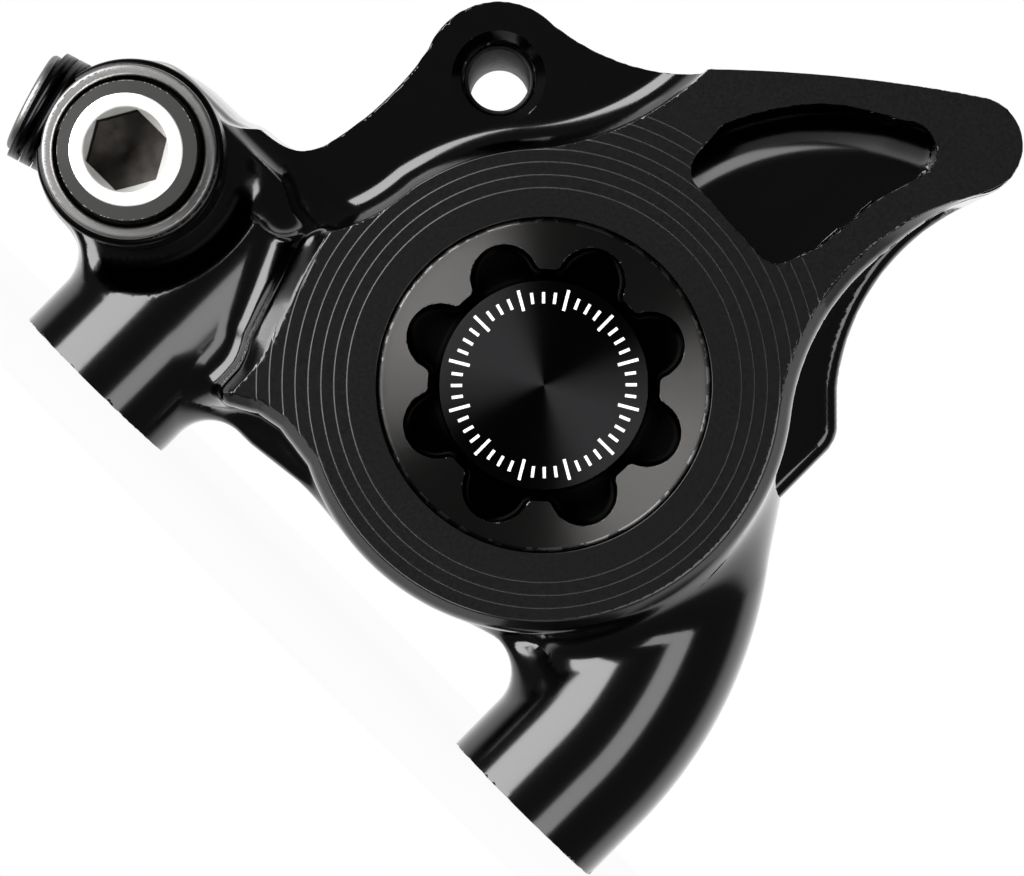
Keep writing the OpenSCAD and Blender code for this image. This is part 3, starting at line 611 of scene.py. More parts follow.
hollow_c = bore + polar(BOSS_R + HOLLOW_R, HOLLOW_ANGLE)
tip_c = hollow_c + polar(HOLLOW_R + TIP_R, TIP_ANGLE)
ridge_c = bore + polar(BOSS_R + RIDGE_R, RIDGE_ANGLE)
wing_corner = ridge_c + polar(RIDGE_R, RIDGE_END)
bridge_top = banjo[1] + BANJO_BOSS_R
valley_c = np.array((pin[0] - VALLEY_FRONT, bridge_top + VALLEY_R))
arm_top = np.array((-13.5, 15.3))
arm_waist = np.array((-11.1, 7.8))
arm_foot = np.array((6 - MOUNT_PITCH / 2, POST_R))
rotor_c = at(-ROTOR_REACH, 0)

# %% Outlines of the body
tip_end = tip_c + polar(TIP_R, TIP_END)
wing_way = (tip_c - bore) / np.linalg.norm(tip_c - bore)
wing_top = bowed(tip_end, wing_corner, TOP_BOW) + arc(ridge_c, RIDGE_R, RIDGE_END, RIDGE_ANGLE - 180)
wing_edge = (arc(hollow_c, HOLLOW_R, HOLLOW_ANGLE + 180, TIP_ANGLE)
             + arc(tip_c, TIP_R, TIP_ANGLE - 180, TIP_END) + wing_top)
arm_start = bore + polar(BOSS_R, ARM_ANGLE)
plate_shape = outline(
    arc(bore, BOSS_R, BOSS_START, 360 + HOLLOW_ANGLE) + wing_edge + arc(bore, BOSS_R, RIDGE_ANGLE, ARM_ANGLE)
    + bowed(arm_start, arm_top, ARM_BOW) + [arm_top] + corner(arm_top, arm_waist, arm_foot, 4)
    + [arm_foot, arm_foot + (1.6, 0.9), arm_foot + (3.2, 1.2)])
bridge_shape = outline(wing_edge + [at(7, 11)])
heel = bore + (BOSS_R + 1.3, 10)
back_c = hollow_c + (0.8, 3.8)
back_r = np.linalg.norm(tip_c - back_c) - TIP_R
back_angle = heading(tip_c - back_c)
inner_shape = outline(
    arc(bore, BOSS_R, 180, 330) + [heel - (0, 10)]
    + corner(heel - (0, 10), heel, back_c + polar(back_r, HEEL_ANGLE), HEEL_R)
    + arc(back_c, back_r, HEEL_ANGLE, back_angle) + arc(tip_c, TIP_R, back_angle - 180, TIP_END) + wing_top)
neck = pin + polar(EAR_R, EAR_NECK)
ear_shape = outline(
    arc(pin, EAR_R, EAR_TOP, EAR_NECK) + bowed(neck, valley_c + polar(VALLEY_R, VALLEY_TOP), NECK_BOW)
    + arc(valley_c, VALLEY_R, VALLEY_TOP, VALLEY_FLOOR)
    + [valley_c - (0, VALLEY_R + 3), at(5, -8), at(5, 8), wing_corner + (1, -3), wing_corner]
    + bowed(wing_corner, pin + polar(EAR_R, EAR_TOP), EAR_BOW))
front_x = banjo[0] - BANJO_END_R
boss_low = banjo[1] - BANJO_END_R
nose = [(front_x, bridge_top, NOSE_TOP_R), (front_x, boss_low, NOSE_LOW_R)]
front_bridge_shape = outline(rounded(nose + [(bore[0] - 9, boss_low, 1), (bore[0] - 9, bridge_top, 1)]))
shoulder_shape = outline(rounded(nose + [
    (arm_foot[0], boss_low, 1), (-14.5, 13.5, 0.5), (-18.3, bridge_top, 0.8)]))
underside_shape = outline([np.array(p) for p in (
    (-17, 3.85), (-8.4, 3.85), (-5, 4.25), (2.9, 4.4), (5, 4.7), (7.2, 5.6), (9, 5.85), (17, 5.85),
    bore, (-17, banjo[1]))])
pocket_end = tip_c - polar(3.7, 49)
pocket_path = [(*(pocket_end + polar(POCKET_END_R, 135)), 0)] + [
    (*(bore + p), r) for p, r in (((0.2, 22.5), 12), ((-3.2, 18.4), 4), ((-2.9, 13.9), 1.3),
                                  ((4.4, 13.5), 1.3), ((5.5, 16.4), 4), ((5.9, 20.6), 5))] + [
    (*(pocket_end + polar(POCKET_END_R, -20)), 0)]
pocket_shape = outline(arc(pocket_end, POCKET_END_R, -20, 135) + [
    p for i in range(1, len(pocket_path) - 1)
    for p in corner(pocket_path[i - 1], pocket_path[i], pocket_path[i + 1], pocket_path[i][2])])
print("outlines drawn")


# %% The metal of the body
def front_plate(x, y, z):
    r = np.hypot(x - bore[0], z - bore[1])
    up, along = up_and_along(x, z)
    step = np.clip((r - STEP_R) / STEP_W, 0, STEP_COUNT)
    level = np.floor(step) + blend(step - np.floor(step), 0, RISER_W / STEP_W)
    front = BOSS_FRONT + STEP_H * level - y
    dome = BOSS_FRONT + STEP_H * np.clip(step + 0.5, 0, STEP_COUNT) - y
    rear_side = (x - bore[0]) * wing_way[1] - (z - bore[1]) * wing_way[0]
    top_side = blend(z, *TOP_FADE) * (1 - blend(rear_side, *REAR_FADE))
    ear_side = blend(up, *EAR_UP_FADE) * blend(along, *EAR_ALONG_FADE)
    low_side = 1 - np.maximum(np.maximum(top_side, blend(z, *TIP_FADE)), ear_side)
    arm = blend(-x, *ARM_FADE) * blend(z, *FOOT_FADE)
    flare = EDGE_FLARE * low_side * (1 + ARM_FLARE * arm) * (1 - blend(y, FLARE_END, SLOT_OUTER)) + SKIN
    side = plate_shape(x, z) - flare
    lean = flare / (EDGE_DEPTH - ARM_SHALLOW * arm * low_side)
    bevel = (side + lean * dome + flare) / np.hypot(1, lean)
    rounded_side = soft_common(side, bevel, BEVEL_ROUND * low_side)
    return np.maximum(soft_common(rounded_side, front, CRISP), y - SLOT_OUTER), side


def posts(x, y, z):
    straight = np.hypot(x + MOUNT_PITCH / 2, y) - POST_R
    front_post = soft_common(straight, between(z, 0, banjo[1] + 2.2), CRISP)
    bend_c = MOUNT_PITCH / 2 + POST_R - LEAN_R
    ring = np.hypot(np.hypot(x - bend_c, z - LEAN_START) - LEAN_R + POST_R, y) - POST_R
    past_bend = (z - LEAN_START) * math.cos(BEND_ANGLE) - (x - bend_c) * math.sin(BEND_ANGLE)
    ring = np.maximum(ring, past_bend)
    foot = np.hypot(x - MOUNT_PITCH / 2, y) - POST_R
    rear_post = np.where(z > LEAN_START, np.maximum(ring, LEAN_START - z), soft_common(foot, -z, CRISP))
    return front_post, rear_post


def body_metal(x, y, z):
    plate, plate_side = front_plate(x, y, z)
    front_post, rear_post = posts(x, y, z)
    ears = np.minimum(between(y, EAR_FRONT, OUTER_FLOOR), between(y, INNER_FLOOR, EAR_BACK))
    ear_side = ear_shape(x, z)
    ears = np.maximum(ear_side, ears)
    shoulder = soft_common(shoulder_shape(x, z), between(y, banjo_seat, EAR_FRONT + 1), SHOULDER_ROUND)
    front_bridge = soft_common(front_bridge_shape(x, z), between(y, EAR_FRONT, BLEED_FACE), BLOCK_ROUND)
    roof = z - bridge_top - ROOF_SLOPE * (y - ROOF_BACK)
    front_bridge = soft_common(front_bridge, roof, ROOF_ROUND)
    shoulder = soft_common(shoulder, roof, ROOF_ROUND)
    underside = soft_common(underside_shape(x, z), between(y, -1.5, SLOT_OUTER), BLOCK_ROUND)
    bridge = np.maximum(bridge_shape(x, z) - SKIN, between(y, SLOT_OUTER - 0.5, SLOT_INNER + 0.9))
    inner = soft_common(inner_shape(x, z) - SKIN, between(y, SLOT_INNER, WING_BACK), BLOCK_ROUND)
    inner_boss = round_bar(x, z, bore, BOSS_R - 0.7)
    inner_boss = soft_common(inner_boss, between(y, SLOT_INNER, BOSS_BACK), BOSS_ROUND)
    out = np.maximum(soft_union(plate, ears, EAR_FILLET), np.minimum(plate_side, ear_side))
    out = soft_union(out, soft_union(shoulder, front_bridge, BRIDGE_FILLET), SHOULDER_FILLET)
    out = soft_union(out, underside, UNDER_FILLET)
    out = soft_union(out, front_post, POST_FILLET)
    out = soft_union(out, rear_post, POST_FILLET)
    inner = soft_union(inner, inner_boss, INNER_FILLET)
    inboard = soft_union(inner, soft_union(front_bridge, ears, INBOARD_FILLET), INBOARD_FILLET)
    return np.minimum(np.minimum(out, bridge), inboard)


# %% The cuts in the body
def bore_cuts(x, y, z):
    r = np.hypot(x - bore[0], z - bore[1])
    hole = np.maximum(r - BORE_R, between(y, cap_high[1] - 1, CHAMBER_BACK))
    for floor_y, away in ((OUTER_FLOOR, -1), (INNER_FLOOR, 1)):
        for start, width, depth in SEAL_GROOVES:
            ends = sorted((floor_y + away * start, floor_y + away * (start + width)))
            hole = np.minimum(hole, np.maximum(r - BORE_R - depth, between(y, *ends)))
    return np.minimum(hole, np.maximum(r - cap_r - 0.06, y - cap_high[1]))


def body_cuts(x, y, z):
    up, along = up_and_along(x, z)
    slot = np.maximum(round_bar(x, z, rotor_c, ROTOR_R), between(y, SLOT_OUTER, SLOT_INNER))
    pads = np.maximum(PAD_ROOM_LOW - up, np.abs(along) - PAD_ROOM_HALF)
    pads = np.maximum(pads, between(y, OUTER_FLOOR, INNER_FLOOR))
    taps = np.maximum(np.hypot(np.abs(x) - MOUNT_PITCH / 2, y) - MOUNT_TAP_R, z - MOUNT_TAP_DEPTH)
    bleed = np.maximum(round_bar(x, z, cross, BLEED_TAP_R), bleed_low[1] - 0.3 - y)
    plug_c = (plug_low + plug_high) / 2
    plug = np.maximum(np.hypot(y - plug_c[1], z - plug_c[2]) - PLUG_TAP_R, plug_low[0] - x)
    out = np.minimum(np.minimum(slot, pads), np.minimum(taps, bore_cuts(x, y, z)))
    return np.minimum(np.minimum(out, bleed), plug)


def body_field(x, y, z):
    metal = body_metal(x, y, z)
    seat = soft_common(round_bar(x, z, banjo, SEAT_CLEAR_R), y - banjo_seat, SEAT_ROUND)
    metal = soft_cut(metal, seat, SEAT_EDGE)
    metal = soft_cut(metal, np.maximum(round_bar(x, z, banjo, BANJO_TAP_R), y - bolt_high[1] - 1), TAP_EDGE)
    pin_hole = np.minimum(np.maximum(round_bar(x, z, pin, PIN_ACCESS_R), y - EAR_FRONT - PIN_SUNK),
                          np.maximum(round_bar(x, z, pin, PIN_HOLE_R), EAR_FRONT - y))
    pin_bevel = round_bar(x, z, pin, PIN_ACCESS_R + PIN_BEVEL) + PIN_BEVEL_SLOPE * (y - EAR_FRONT)
    pin_bevel = pin_bevel / math.hypot(1, PIN_BEVEL_SLOPE)
    pin_bevel = np.maximum(pin_bevel, EAR_FRONT - 0.5 - y)
    metal = np.maximum(metal, -np.minimum(pin_hole, pin_bevel))
    pocket_floor = y - WING_FRONT - POCKET_DEPTH
    pocket = np.maximum(pocket_shape(x, z), pocket_floor)
    top_cove = soft_common(round_bar(x, z, POCKET_TOP_C, POCKET_TOP_R), pocket_floor, POCKET_COVE)
    metal = np.maximum(metal, -np.maximum(pocket, top_cove))
    return soft_cut(metal, body_cuts(x, y, z), CRISP)


# %% [markdown]
# The front of the body is drawn as a layer of its own on rings round the bore, which are 0.15 mm apart and
# 0.06 mm deep, because the turned steps lie there. Behind it, cells of a third of a millimetre are enough,
# apart from finer ones round the pin's hole.

# %% Draw the body
BODY_CELL = 0.31
FRONT_CELL = 0.15
TURNS = 440
STEP_CELL = 0.06
PIN_ZONE = 2.9
PIN_CELL = 0.15
WALL_CELL = 0.45
LAYER_CELL = 0.13
LAYER_Y = WING_FRONT + 1.3
BODY_REACH = 31.5


def front_layer(x, y, z):
    return np.maximum(body_field(x, y, z), y - LAYER_Y)


def rear_layer(x, y, z):
    return np.maximum(body_field(x, y, z), LAYER_Y - y)


def refined(step_highlight, low, high, cell):
    below = step_highlight[step_highlight < low - cell / 2]
    above = step_highlight[step_highlight > high + cell / 2]
    return np.concatenate([below, np.arange(low, high, cell), above])


rear_grid = grid(body_low, body_high, BODY_CELL)
rear_grid[1] = np.arange(LAYER_Y - 0.4 * BODY_CELL, body_high[1] + 1, BODY_CELL)
rear_grid[0] = refined(rear_grid[0], pin[0] - PIN_ZONE, pin[0] + PIN_ZONE, PIN_CELL)
rear_grid[1] = refined(rear_grid[1], EAR_FRONT - 0.25, EAR_FRONT + 0.55, BODY_CELL / 4)
rear_grid[1] = refined(rear_grid[1], SLOT_OUTER + 0.6, EAR_BACK - 1, WALL_CELL)
rear_grid[2] = refined(rear_grid[2], pin[1] - PIN_ZONE, pin[1] + PIN_ZONE, PIN_CELL)
step_end = STEP_R + STEP_COUNT * STEP_W
in_step = np.array((-0.03, 0.005, 0.025, 0.045, 0.08, 0.4))
rings = np.concatenate([np.arange(cap_r - 0.4, STEP_R - 0.1, FRONT_CELL)]
                       + [STEP_R + i * STEP_W + in_step for i in range(STEP_COUNT)]
                       + [np.arange(step_end, BODY_REACH, FRONT_CELL)])
fine_end = WING_FRONT + 0.12
depths = np.concatenate([np.arange(BOSS_FRONT - 4.5 * STEP_CELL, fine_end, STEP_CELL),
                         np.arange(fine_end + LAYER_CELL, LAYER_Y + 2 * LAYER_CELL, LAYER_CELL)])
body = mesh_piece("machined_body", body_field, [
    turned_contour(front_layer, bore, rings, depths, TURNS), contour(rear_layer, *rear_grid)])
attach(body, "body")
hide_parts("caliper_body")

# %% [markdown]
# ## Bore cap
#
# The cap closes the bore that the pistons' passage was drilled through. It is a turned disc with a bevel,
# and its socket has eight round lobes that a pin tool grips. The island in the middle is left standing a
# little below the rim.

# %% Draw the bore cap
CAP_BEVEL = 0.3
LOBE_COUNT, LOBE_R, LOBE_PITCH_R, LOBE_START = 8, 1.9, 6.3, 20
SOCKET_R, SOCKET_DEPTH = 6.45, 2.2
ISLAND_R, ISLAND_SUNK = 5.8, 0.25
LOBE_FILLET, MOAT_ROUND = 0.25, 0.4


def cap_field(x, y, z):
    dx, dz = x - bore[0], z - bore[1]
    r = np.hypot(dx, dz)
    share = 2 * math.pi / LOBE_COUNT
    angle = np.arctan2(dz, dx) - math.radians(LOBE_START)
    angle = angle - share * np.round(angle / share)
    lobe = np.hypot(r * np.cos(angle) - LOBE_PITCH_R, r * np.sin(angle)) - LOBE_R
    socket = soft_union(lobe, r - SOCKET_R, LOBE_FILLET)
    disc = soft_common(r - cap_r, between(y, cap_low[1], cap_high[1]), CAP_BEVEL)
    moat = soft_common(np.maximum(socket, ISLAND_R - r), y - cap_low[1] - SOCKET_DEPTH, MOAT_ROUND)
    disc = np.maximum(disc, -moat)
    return np.maximum(disc, -np.maximum(socket, y - cap_low[1] - ISLAND_SUNK))


CAP_CELL = 0.1
cap = grid_piece("turned_cap", cap_field, cap_low, cap_high, CAP_CELL)
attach(cap, "body")
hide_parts("bore_cap")

# %% [markdown]
# ## Banjo
#
# The eye carries the hose on a short threaded stub. Its front is turned bare to a light ring, and the
# bolt sits in a counterbore inside that ring. The bolt is polished stainless steel with a conical side,
# a flat rim and a hexagon socket.

# %% Draw the banjo eye and its bolt
EYE_R, EYE_FRONT_R, EYE_STEP = 5.2, 4.85, 1.2
EYE_BORE_R, COUNTER_R, COUNTER_DEPTH = 3.04, 4.2, 1.6
STUB_Y, STUB_ANGLE, STUB_REACH, STUB_R, STUB_BORE_R = -7.4, 197, 6.4, 2.9, 1.6
HEAD_R, HEAD_TOP_R, HEAD_H = 3.85, 3.1, 3.6
HEX_HALF, HEX_DEPTH, HEX_MOUTH_R = 2.0, 2.9, 2.38
DRILL_SLOPE, MOUTH_SLOPE = 0.55, 0.8
SHANK_R, SHANK_ROUND, BOLT_EDGE = 2.98, 0.4, 0.06
EYE_ROUND, EYE_FRONT_ROUND, EYE_BORE_EDGE, COUNTER_EDGE = 0.35, 0.2, 0.1, 0.15
STUB_ROUND, STUB_FILLET, STUB_BORE_EDGE = 0.25, 0.5, 0.2
EYE_CELL = 0.13
BOLT_CELL = 0.09
head_top = bolt_low[1]
head_seat = head_top + HEAD_H
eye_front = head_seat - 1.0
eye_back = washer_low[1]
stub_way = polar(1, STUB_ANGLE)


def eye_field(x, y, z):
    r = np.hypot(x - banjo[0], z - banjo[1])
    main = soft_common(r - EYE_R, between(y, eye_front + EYE_STEP, eye_back), EYE_ROUND)
    front = soft_common(r - EYE_FRONT_R, between(y, eye_front, eye_back), EYE_FRONT_ROUND)
    eye = np.minimum(main, front)
    reach = (x - banjo[0]) * stub_way[0] + (z - banjo[1]) * stub_way[1]
    off = np.hypot((x - banjo[0]) * stub_way[1] - (z - banjo[1]) * stub_way[0], y - STUB_Y)
    stub = soft_common(off - STUB_R, between(reach, 0, STUB_REACH), STUB_ROUND)
    eye = soft_union(eye, stub, STUB_FILLET)
    eye = soft_cut(eye, np.maximum(r - EYE_BORE_R, eye_front - 1 - y), EYE_BORE_EDGE)
    eye = soft_cut(eye, np.maximum(r - COUNTER_R, y - eye_front - COUNTER_DEPTH), COUNTER_EDGE)
    return soft_cut(eye, np.maximum(off - STUB_BORE_R, -reach), STUB_BORE_EDGE)


def bolt_field(x, y, z):
    dx, dz = x - banjo[0], z - banjo[1]
    r = np.hypot(dx, dz)
    cone = (r - HEAD_TOP_R - y + head_top) / math.sqrt(2)
    head = soft_common(np.maximum(r - HEAD_R, cone), between(y, head_top, head_seat), BOLT_EDGE)
    shank = soft_common(r - SHANK_R, between(y, head_seat - 1, bolt_high[1]), SHANK_ROUND)
    bolt = np.minimum(head, shank)
    hexagon = np.maximum(np.abs(dz), np.abs(dz) * 0.5 + np.abs(dx) * math.sqrt(0.75)) - HEX_HALF
    bottom = (y - head_top - HEX_DEPTH - DRILL_SLOPE * (HEX_HALF - r)) / math.hypot(1, DRILL_SLOPE)
    mouth = (r - HEX_MOUTH_R + MOUTH_SLOPE * (y - head_top)) / math.hypot(1, MOUTH_SLOPE)
    return soft_cut(bolt, np.minimum(np.maximum(hexagon, bottom), mouth), BOLT_EDGE)


eye = grid_piece("banjo_eye", eye_field, eye_low, eye_high, EYE_CELL)
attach(eye, "banjo")
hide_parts("banjo_fitting")
bolt = grid_piece("polished_bolt", bolt_field, bolt_low, bolt_high, BOLT_CELL)
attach(bolt, "body")
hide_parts("banjo_bolt")

# %% [markdown]
# ## Pad pin
#
# The pin that carries the pads is a thin steel tube, so the light background shows through it. A tube
# could be a cylinder with Solidify. As a distance it takes one line more and gets rounded lips.

# %% Draw the pad pin
PIN_BORE_R = 1.75
PIN_LIP = 0.1
TUBE_CELL = 0.11
pin_r = (pin_high[0] - pin_low[0]) / 2


def pin_field(x, y, z):
    r = round_bar(x, z, pin, 0)
    tube = soft_common(r - pin_r, between(y, pin_low[1], pin_high[1]), PIN_LIP)
    return soft_cut(tube, r - PIN_BORE_R, PIN_LIP)


pin_tube = grid_piece("pin_tube", pin_field, pin_low, pin_high, TUBE_CELL)
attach(pin_tube, "body")
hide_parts("pad_pin")

# %% [markdown]
# ## Finishes
#
# Each finish starts from what the real piece is made of and from the last thing that was done to it, such
# as milling, turning or moulding. A painted picture could carry that, but a node pattern stays sharp at
# any distance. Object coordinates are in metres here, so a real size in millimetres gives each scale.
# Turned marks run round an axis along Y, and one vector that points away from that axis draws them all.

# %% Places round a turning axis
NOISE_LOW, NOISE_HIGH = 0.3, 0.7


def round_axis(tree, centre):
    place = add(tree, "TexCoord").outputs["Object"]
    depth = add(tree, "SeparateXYZ", {0: place}).outputs["Y"]
    middle = (-centre[0] * MM, 0, -centre[1] * MM)
    offset = add(tree, "VectorMath", {0: place, 1: (1, 0, 1), 2: middle}, operation="MULTIPLY_ADD")
    radius = add(tree, "VectorMath", {0: offset}, operation="LENGTH").outputs["Value"]
    return place, depth, offset, radius


def cover(piece, material):
    piece.data.materials.clear()
    piece.data.materials.append(material)
    print(piece.name, "is finished in", material.name)


# %% [markdown]
# The body is milled aluminium, anodised black. Its sides were blasted and dyed to a deep gloss, so they
# mirror the softboxes, and its front was faced last, which leaves it satin. A cutter that steps outwards
# left small steps there, and a thin light line painted on the edge of each step is a painted highlight for
# the light those edges catch. The gloss is a clear coat over dark metal, and the depth of a point tells
# the satin front from the glossy sides.

# %% Black anodised aluminium, milled
STEP_HIGHLIGHT = 0.1
FACE_GRAIN = 0.2
SIDE_GRAIN = 0.35

anodised_body, tree = new_material("black anodised aluminium, milled")
place, depth, _, radius = round_axis(tree, bore)
satin = add(tree, "MapRange", {
    0: depth, 1: (WING_FRONT + 0.05) * MM, 2: (WING_FRONT + 0.3) * MM, 3: 1, 4: 0})
steps = add(tree, "MapRange", {0: radius, 1: STEP_R * MM, 2: (STEP_R + STEP_W) * MM}, clamp=False)
in_step = add(tree, "Math", {0: steps}, operation="FRACT")
# Painted highlight: a thin light line on the edge of each turned step, lighter than the satin face.
step_highlight = add(tree, "Math", {0: in_step, 1: 0.5 * RISER_W / STEP_W, 2: 0.5 * STEP_HIGHLIGHT / STEP_W},
           operation="COMPARE")
on_steps = add(tree, "Math", {0: steps, 1: STEP_COUNT / 2, 2: STEP_COUNT / 2}, operation="COMPARE")
step_highlight = add(tree, "Math", {0: step_highlight, 1: on_steps}, operation="MULTIPLY")
level = add(tree, "Math", {0: steps, 1: STEP_H * MM, 2: BOSS_FRONT * MM}, operation="MULTIPLY_ADD")
on_tread = add(tree, "Math", {0: depth, 1: level, 2: STEP_H * MM}, operation="COMPARE")
step_highlight = add(tree, "Math", {0: step_highlight, 1: on_tread}, operation="MULTIPLY")
colour = add(tree, "Mix", {
    "Factor": step_highlight, "A": linear("#1E1E1F"), "B": linear("#626261")}, data_type="RGBA").outputs[2]
face_grain = add(tree, "TexNoise", {"Vector": place, "Scale": per_metre(FACE_GRAIN), "Detail": 3})
side_grain = add(tree, "TexNoise", {"Vector": place, "Scale": per_metre(SIDE_GRAIN), "Detail": 4})
face_rough = add(tree, "MapRange", {0: face_grain, 1: NOISE_LOW, 2: NOISE_HIGH, 3: 0.35, 4: 0.45})
side_rough = add(tree, "MapRange", {0: side_grain, 1: NOISE_LOW, 2: NOISE_HIGH, 3: 0.11, 4: 0.17})
rough = add(tree, "Mix", {"Factor": satin, "A": side_rough, "B": face_rough})
height = add(tree, "Math", {0: face_grain, 1: satin}, operation="MULTIPLY")
bump = add(tree, "Bump", {"Height": height, "Strength": 0.3, "Distance": 0.01 * MM})
shader = add(tree, "BsdfPrincipled", {
    "Base Color": colour, "Metallic": 1, "Roughness": rough, "Coat Weight": 0.8, "Coat Roughness": 0.14,
    "Normal": bump})
add(tree, "OutputMaterial", {"Surface": shader})
cover(body, anodised_body)

# %% [markdown]
# The cap is turned, and fine grooves run round its axis. Such grooves spread a reflection across
# themselves, so the ring shows two bright fans and two dark ones that turn with the light. The shader's
# anisotropy does that, with its tangent pointing away from the axis. The socket's lobes get a painted shade
# that darkens them with depth, the island in the middle was left darker than the ring, and the outer rim
# is worn to bare metal in places.

# %% Black anodised aluminium, turned
GROOVE = 0.12
WEAR = 0.7

anodised_cap, tree = new_material("black anodised aluminium, turned")
place, depth, offset, radius = round_axis(tree, bore)
grooves = add(tree, "TexNoise", {"W": radius, "Scale": per_metre(GROOVE), "Detail": 3}, noise_dimensions="1D")
wear = add(tree, "TexNoise", {"Vector": place, "Scale": per_metre(WEAR), "Detail": 3})
worn = add(tree, "Math", {0: wear, 1: 0.52}, operation="GREATER_THAN")
rim = add(tree, "Math", {0: radius, 1: (cap_r - 0.22) * MM}, operation="GREATER_THAN")
rim = add(tree, "Math", {0: rim, 1: worn}, operation="MULTIPLY")
ring = add(tree, "MapRange", {0: radius, 1: (ISLAND_R + 0.05) * MM, 2: (ISLAND_R + 0.15) * MM})
# Painted shade: the socket darkens towards its floor.
moat_shade = add(tree, "MapRange", {0: depth, 1: (cap_low[1] + 0.4) * MM, 2: (cap_low[1] + 1) * MM})
colour = add(tree, "Mix", {
    "Factor": ring, "A": linear("#1E1E1F"), "B": linear("#4A4948")}, data_type="RGBA").outputs[2]
for share, hex_value in ((moat_shade, "#080808"), (rim, "#8C8B89")):
    colour = add(tree, "Mix", {
        "Factor": share, "A": colour, "B": linear(hex_value)}, data_type="RGBA").outputs[2]
rough = add(tree, "MapRange", {0: grooves, 1: NOISE_LOW, 2: NOISE_HIGH, 3: 0.31, 4: 0.37})
shader = add(tree, "BsdfPrincipled", {
    "Base Color": colour, "Metallic": 1, "Roughness": rough, "Anisotropic": 1, "Tangent": offset})
add(tree, "OutputMaterial", {"Surface": shader})
cover(cap, anodised_cap)

# %% [markdown]
# The banjo was anodised first and faced afterwards, so its front ring and the end of its stub are bare
# aluminium with fine turned rings, and the rest is black with a soft gloss. Depth finds the ring, and the
# distance along the stub finds its end.

# %% Black anodised aluminium with bare turned faces
RING_GROOVE = 0.14
BARE_END = 0.4

anodised_banjo, tree = new_material("black anodised aluminium with bare turned faces")
_, depth, offset, radius = round_axis(tree, banjo)
along = add(tree, "VectorMath", {0: offset, 1: (stub_way[0], 0, stub_way[1])}, operation="DOT_PRODUCT")
end_face = add(tree, "Math", {0: along.outputs["Value"], 1: (STUB_REACH - BARE_END) * MM},
               operation="GREATER_THAN")
face = add(tree, "MapRange", {
    0: depth, 1: (eye_front + 0.12) * MM, 2: (eye_front + 0.2) * MM, 3: 1, 4: 0})
bare = add(tree, "Math", {0: face, 1: end_face}, operation="MAXIMUM")
rings = add(tree, "TexNoise", {"W": radius, "Scale": per_metre(RING_GROOVE), "Detail": 2},
            noise_dimensions="1D")
metal = add(tree, "Mix", {
    "Factor": rings, "A": linear("#6A6968"), "B": linear("#9C9B9A")}, data_type="RGBA").outputs[2]
colour = add(tree, "Mix", {
    "Factor": bare, "A": linear("#202021"), "B": metal}, data_type="RGBA").outputs[2]
rough = add(tree, "MapRange", {0: bare, 3: 0.24, 4: 0.42})
shader = add(tree, "BsdfPrincipled", {"Base Color": colour, "Metallic": 1, "Roughness": rough})
add(tree, "OutputMaterial", {"Surface": shader})
cover(eye, anodised_banjo)

# %% [markdown]
# The bolt is polished stainless steel. Its rim was faced and scatters light, so it looks almost white,
# while the conical side mirrors the room. Its hex socket gets a painted shade that darkens with depth,
# mottled by noise.

# %% Stainless steel, polished with a faced rim
SHADE_MOTTLE = 0.8

bolt_steel, tree = new_material("stainless steel, polished with a faced rim")
place, depth, _, radius = round_axis(tree, banjo)
rim = add(tree, "MapRange", {
    0: radius, 1: (HEAD_TOP_R - 0.05) * MM, 2: (HEAD_TOP_R + 0.05) * MM, 3: 1, 4: 0})
# Painted shade: the hex socket darkens with depth, mottled by noise.
inside = add(tree, "Math", {0: radius, 1: (HEX_MOUTH_R + 0.1) * MM}, operation="LESS_THAN")
deep = add(tree, "MapRange", {0: depth, 1: (head_top + 0.4) * MM, 2: (head_top + 0.8) * MM})
hex_shade = add(tree, "Math", {0: inside, 1: deep}, operation="MULTIPLY")
shade_mottle = add(tree, "TexNoise", {"Vector": place, "Scale": per_metre(SHADE_MOTTLE), "Detail": 4})
shade_colour = add(tree, "Mix", {
    "Factor": shade_mottle, "A": linear("#171513"), "B": linear("#55514E")}, data_type="RGBA").outputs[2]
colour = add(tree, "Mix", {
    "Factor": hex_shade, "A": linear("#E2E1DE"), "B": shade_colour}, data_type="RGBA").outputs[2]
rough = add(tree, "MapRange", {0: rim, 3: 0.16, 4: 0.55})
shader = add(tree, "BsdfPrincipled", {"Base Color": colour, "Metallic": 1, "Roughness": rough})
add(tree, "OutputMaterial", {"Surface": shader})
cover(bolt, bolt_steel)

# %% [markdown]
# The other pieces each need one pattern only: grain that is drawn out along the way the surface was worked.
# A ground piston has rings round its axis, rolled spring sheet has lines along it, moulded rubber has an
# even skin, and the pressed friction compound is coarse and full of specks. One function makes them all,
# from two colours, a grain size and how far the grain is drawn out.

# %% Finishes with one grain
def grained(name, dark, light, metallic, rough, grain, relief, drawn_out=(1, 1, 1)):
    material, tree = new_material(name)
    place = add(tree, "TexCoord").outputs["Object"]
    worked = add(tree, "VectorMath", {0: place, 1: drawn_out}, operation="MULTIPLY")
    noise = add(tree, "TexNoise", {"Vector": worked, "Scale": per_metre(grain), "Detail": 3})
    share = add(tree, "MapRange", {0: noise, 1: NOISE_LOW, 2: NOISE_HIGH})
    colour = add(tree, "Mix", {"Factor": share, "A": linear(dark), "B": linear(light)}, data_type="RGBA")
    spread = add(tree, "MapRange", {
        0: noise, 1: NOISE_LOW, 2: NOISE_HIGH, 3: rough[0], 4: rough[1]})
    bump = add(tree, "Bump", {"Height": noise, "Strength": 0.5, "Distance": relief * MM})
    shader = add(tree, "BsdfPrincipled", {
        "Base Color": colour.outputs[2], "Metallic": metallic, "Roughness": spread, "Normal": bump})
    add(tree, "OutputMaterial", {"Surface": shader})
    return material


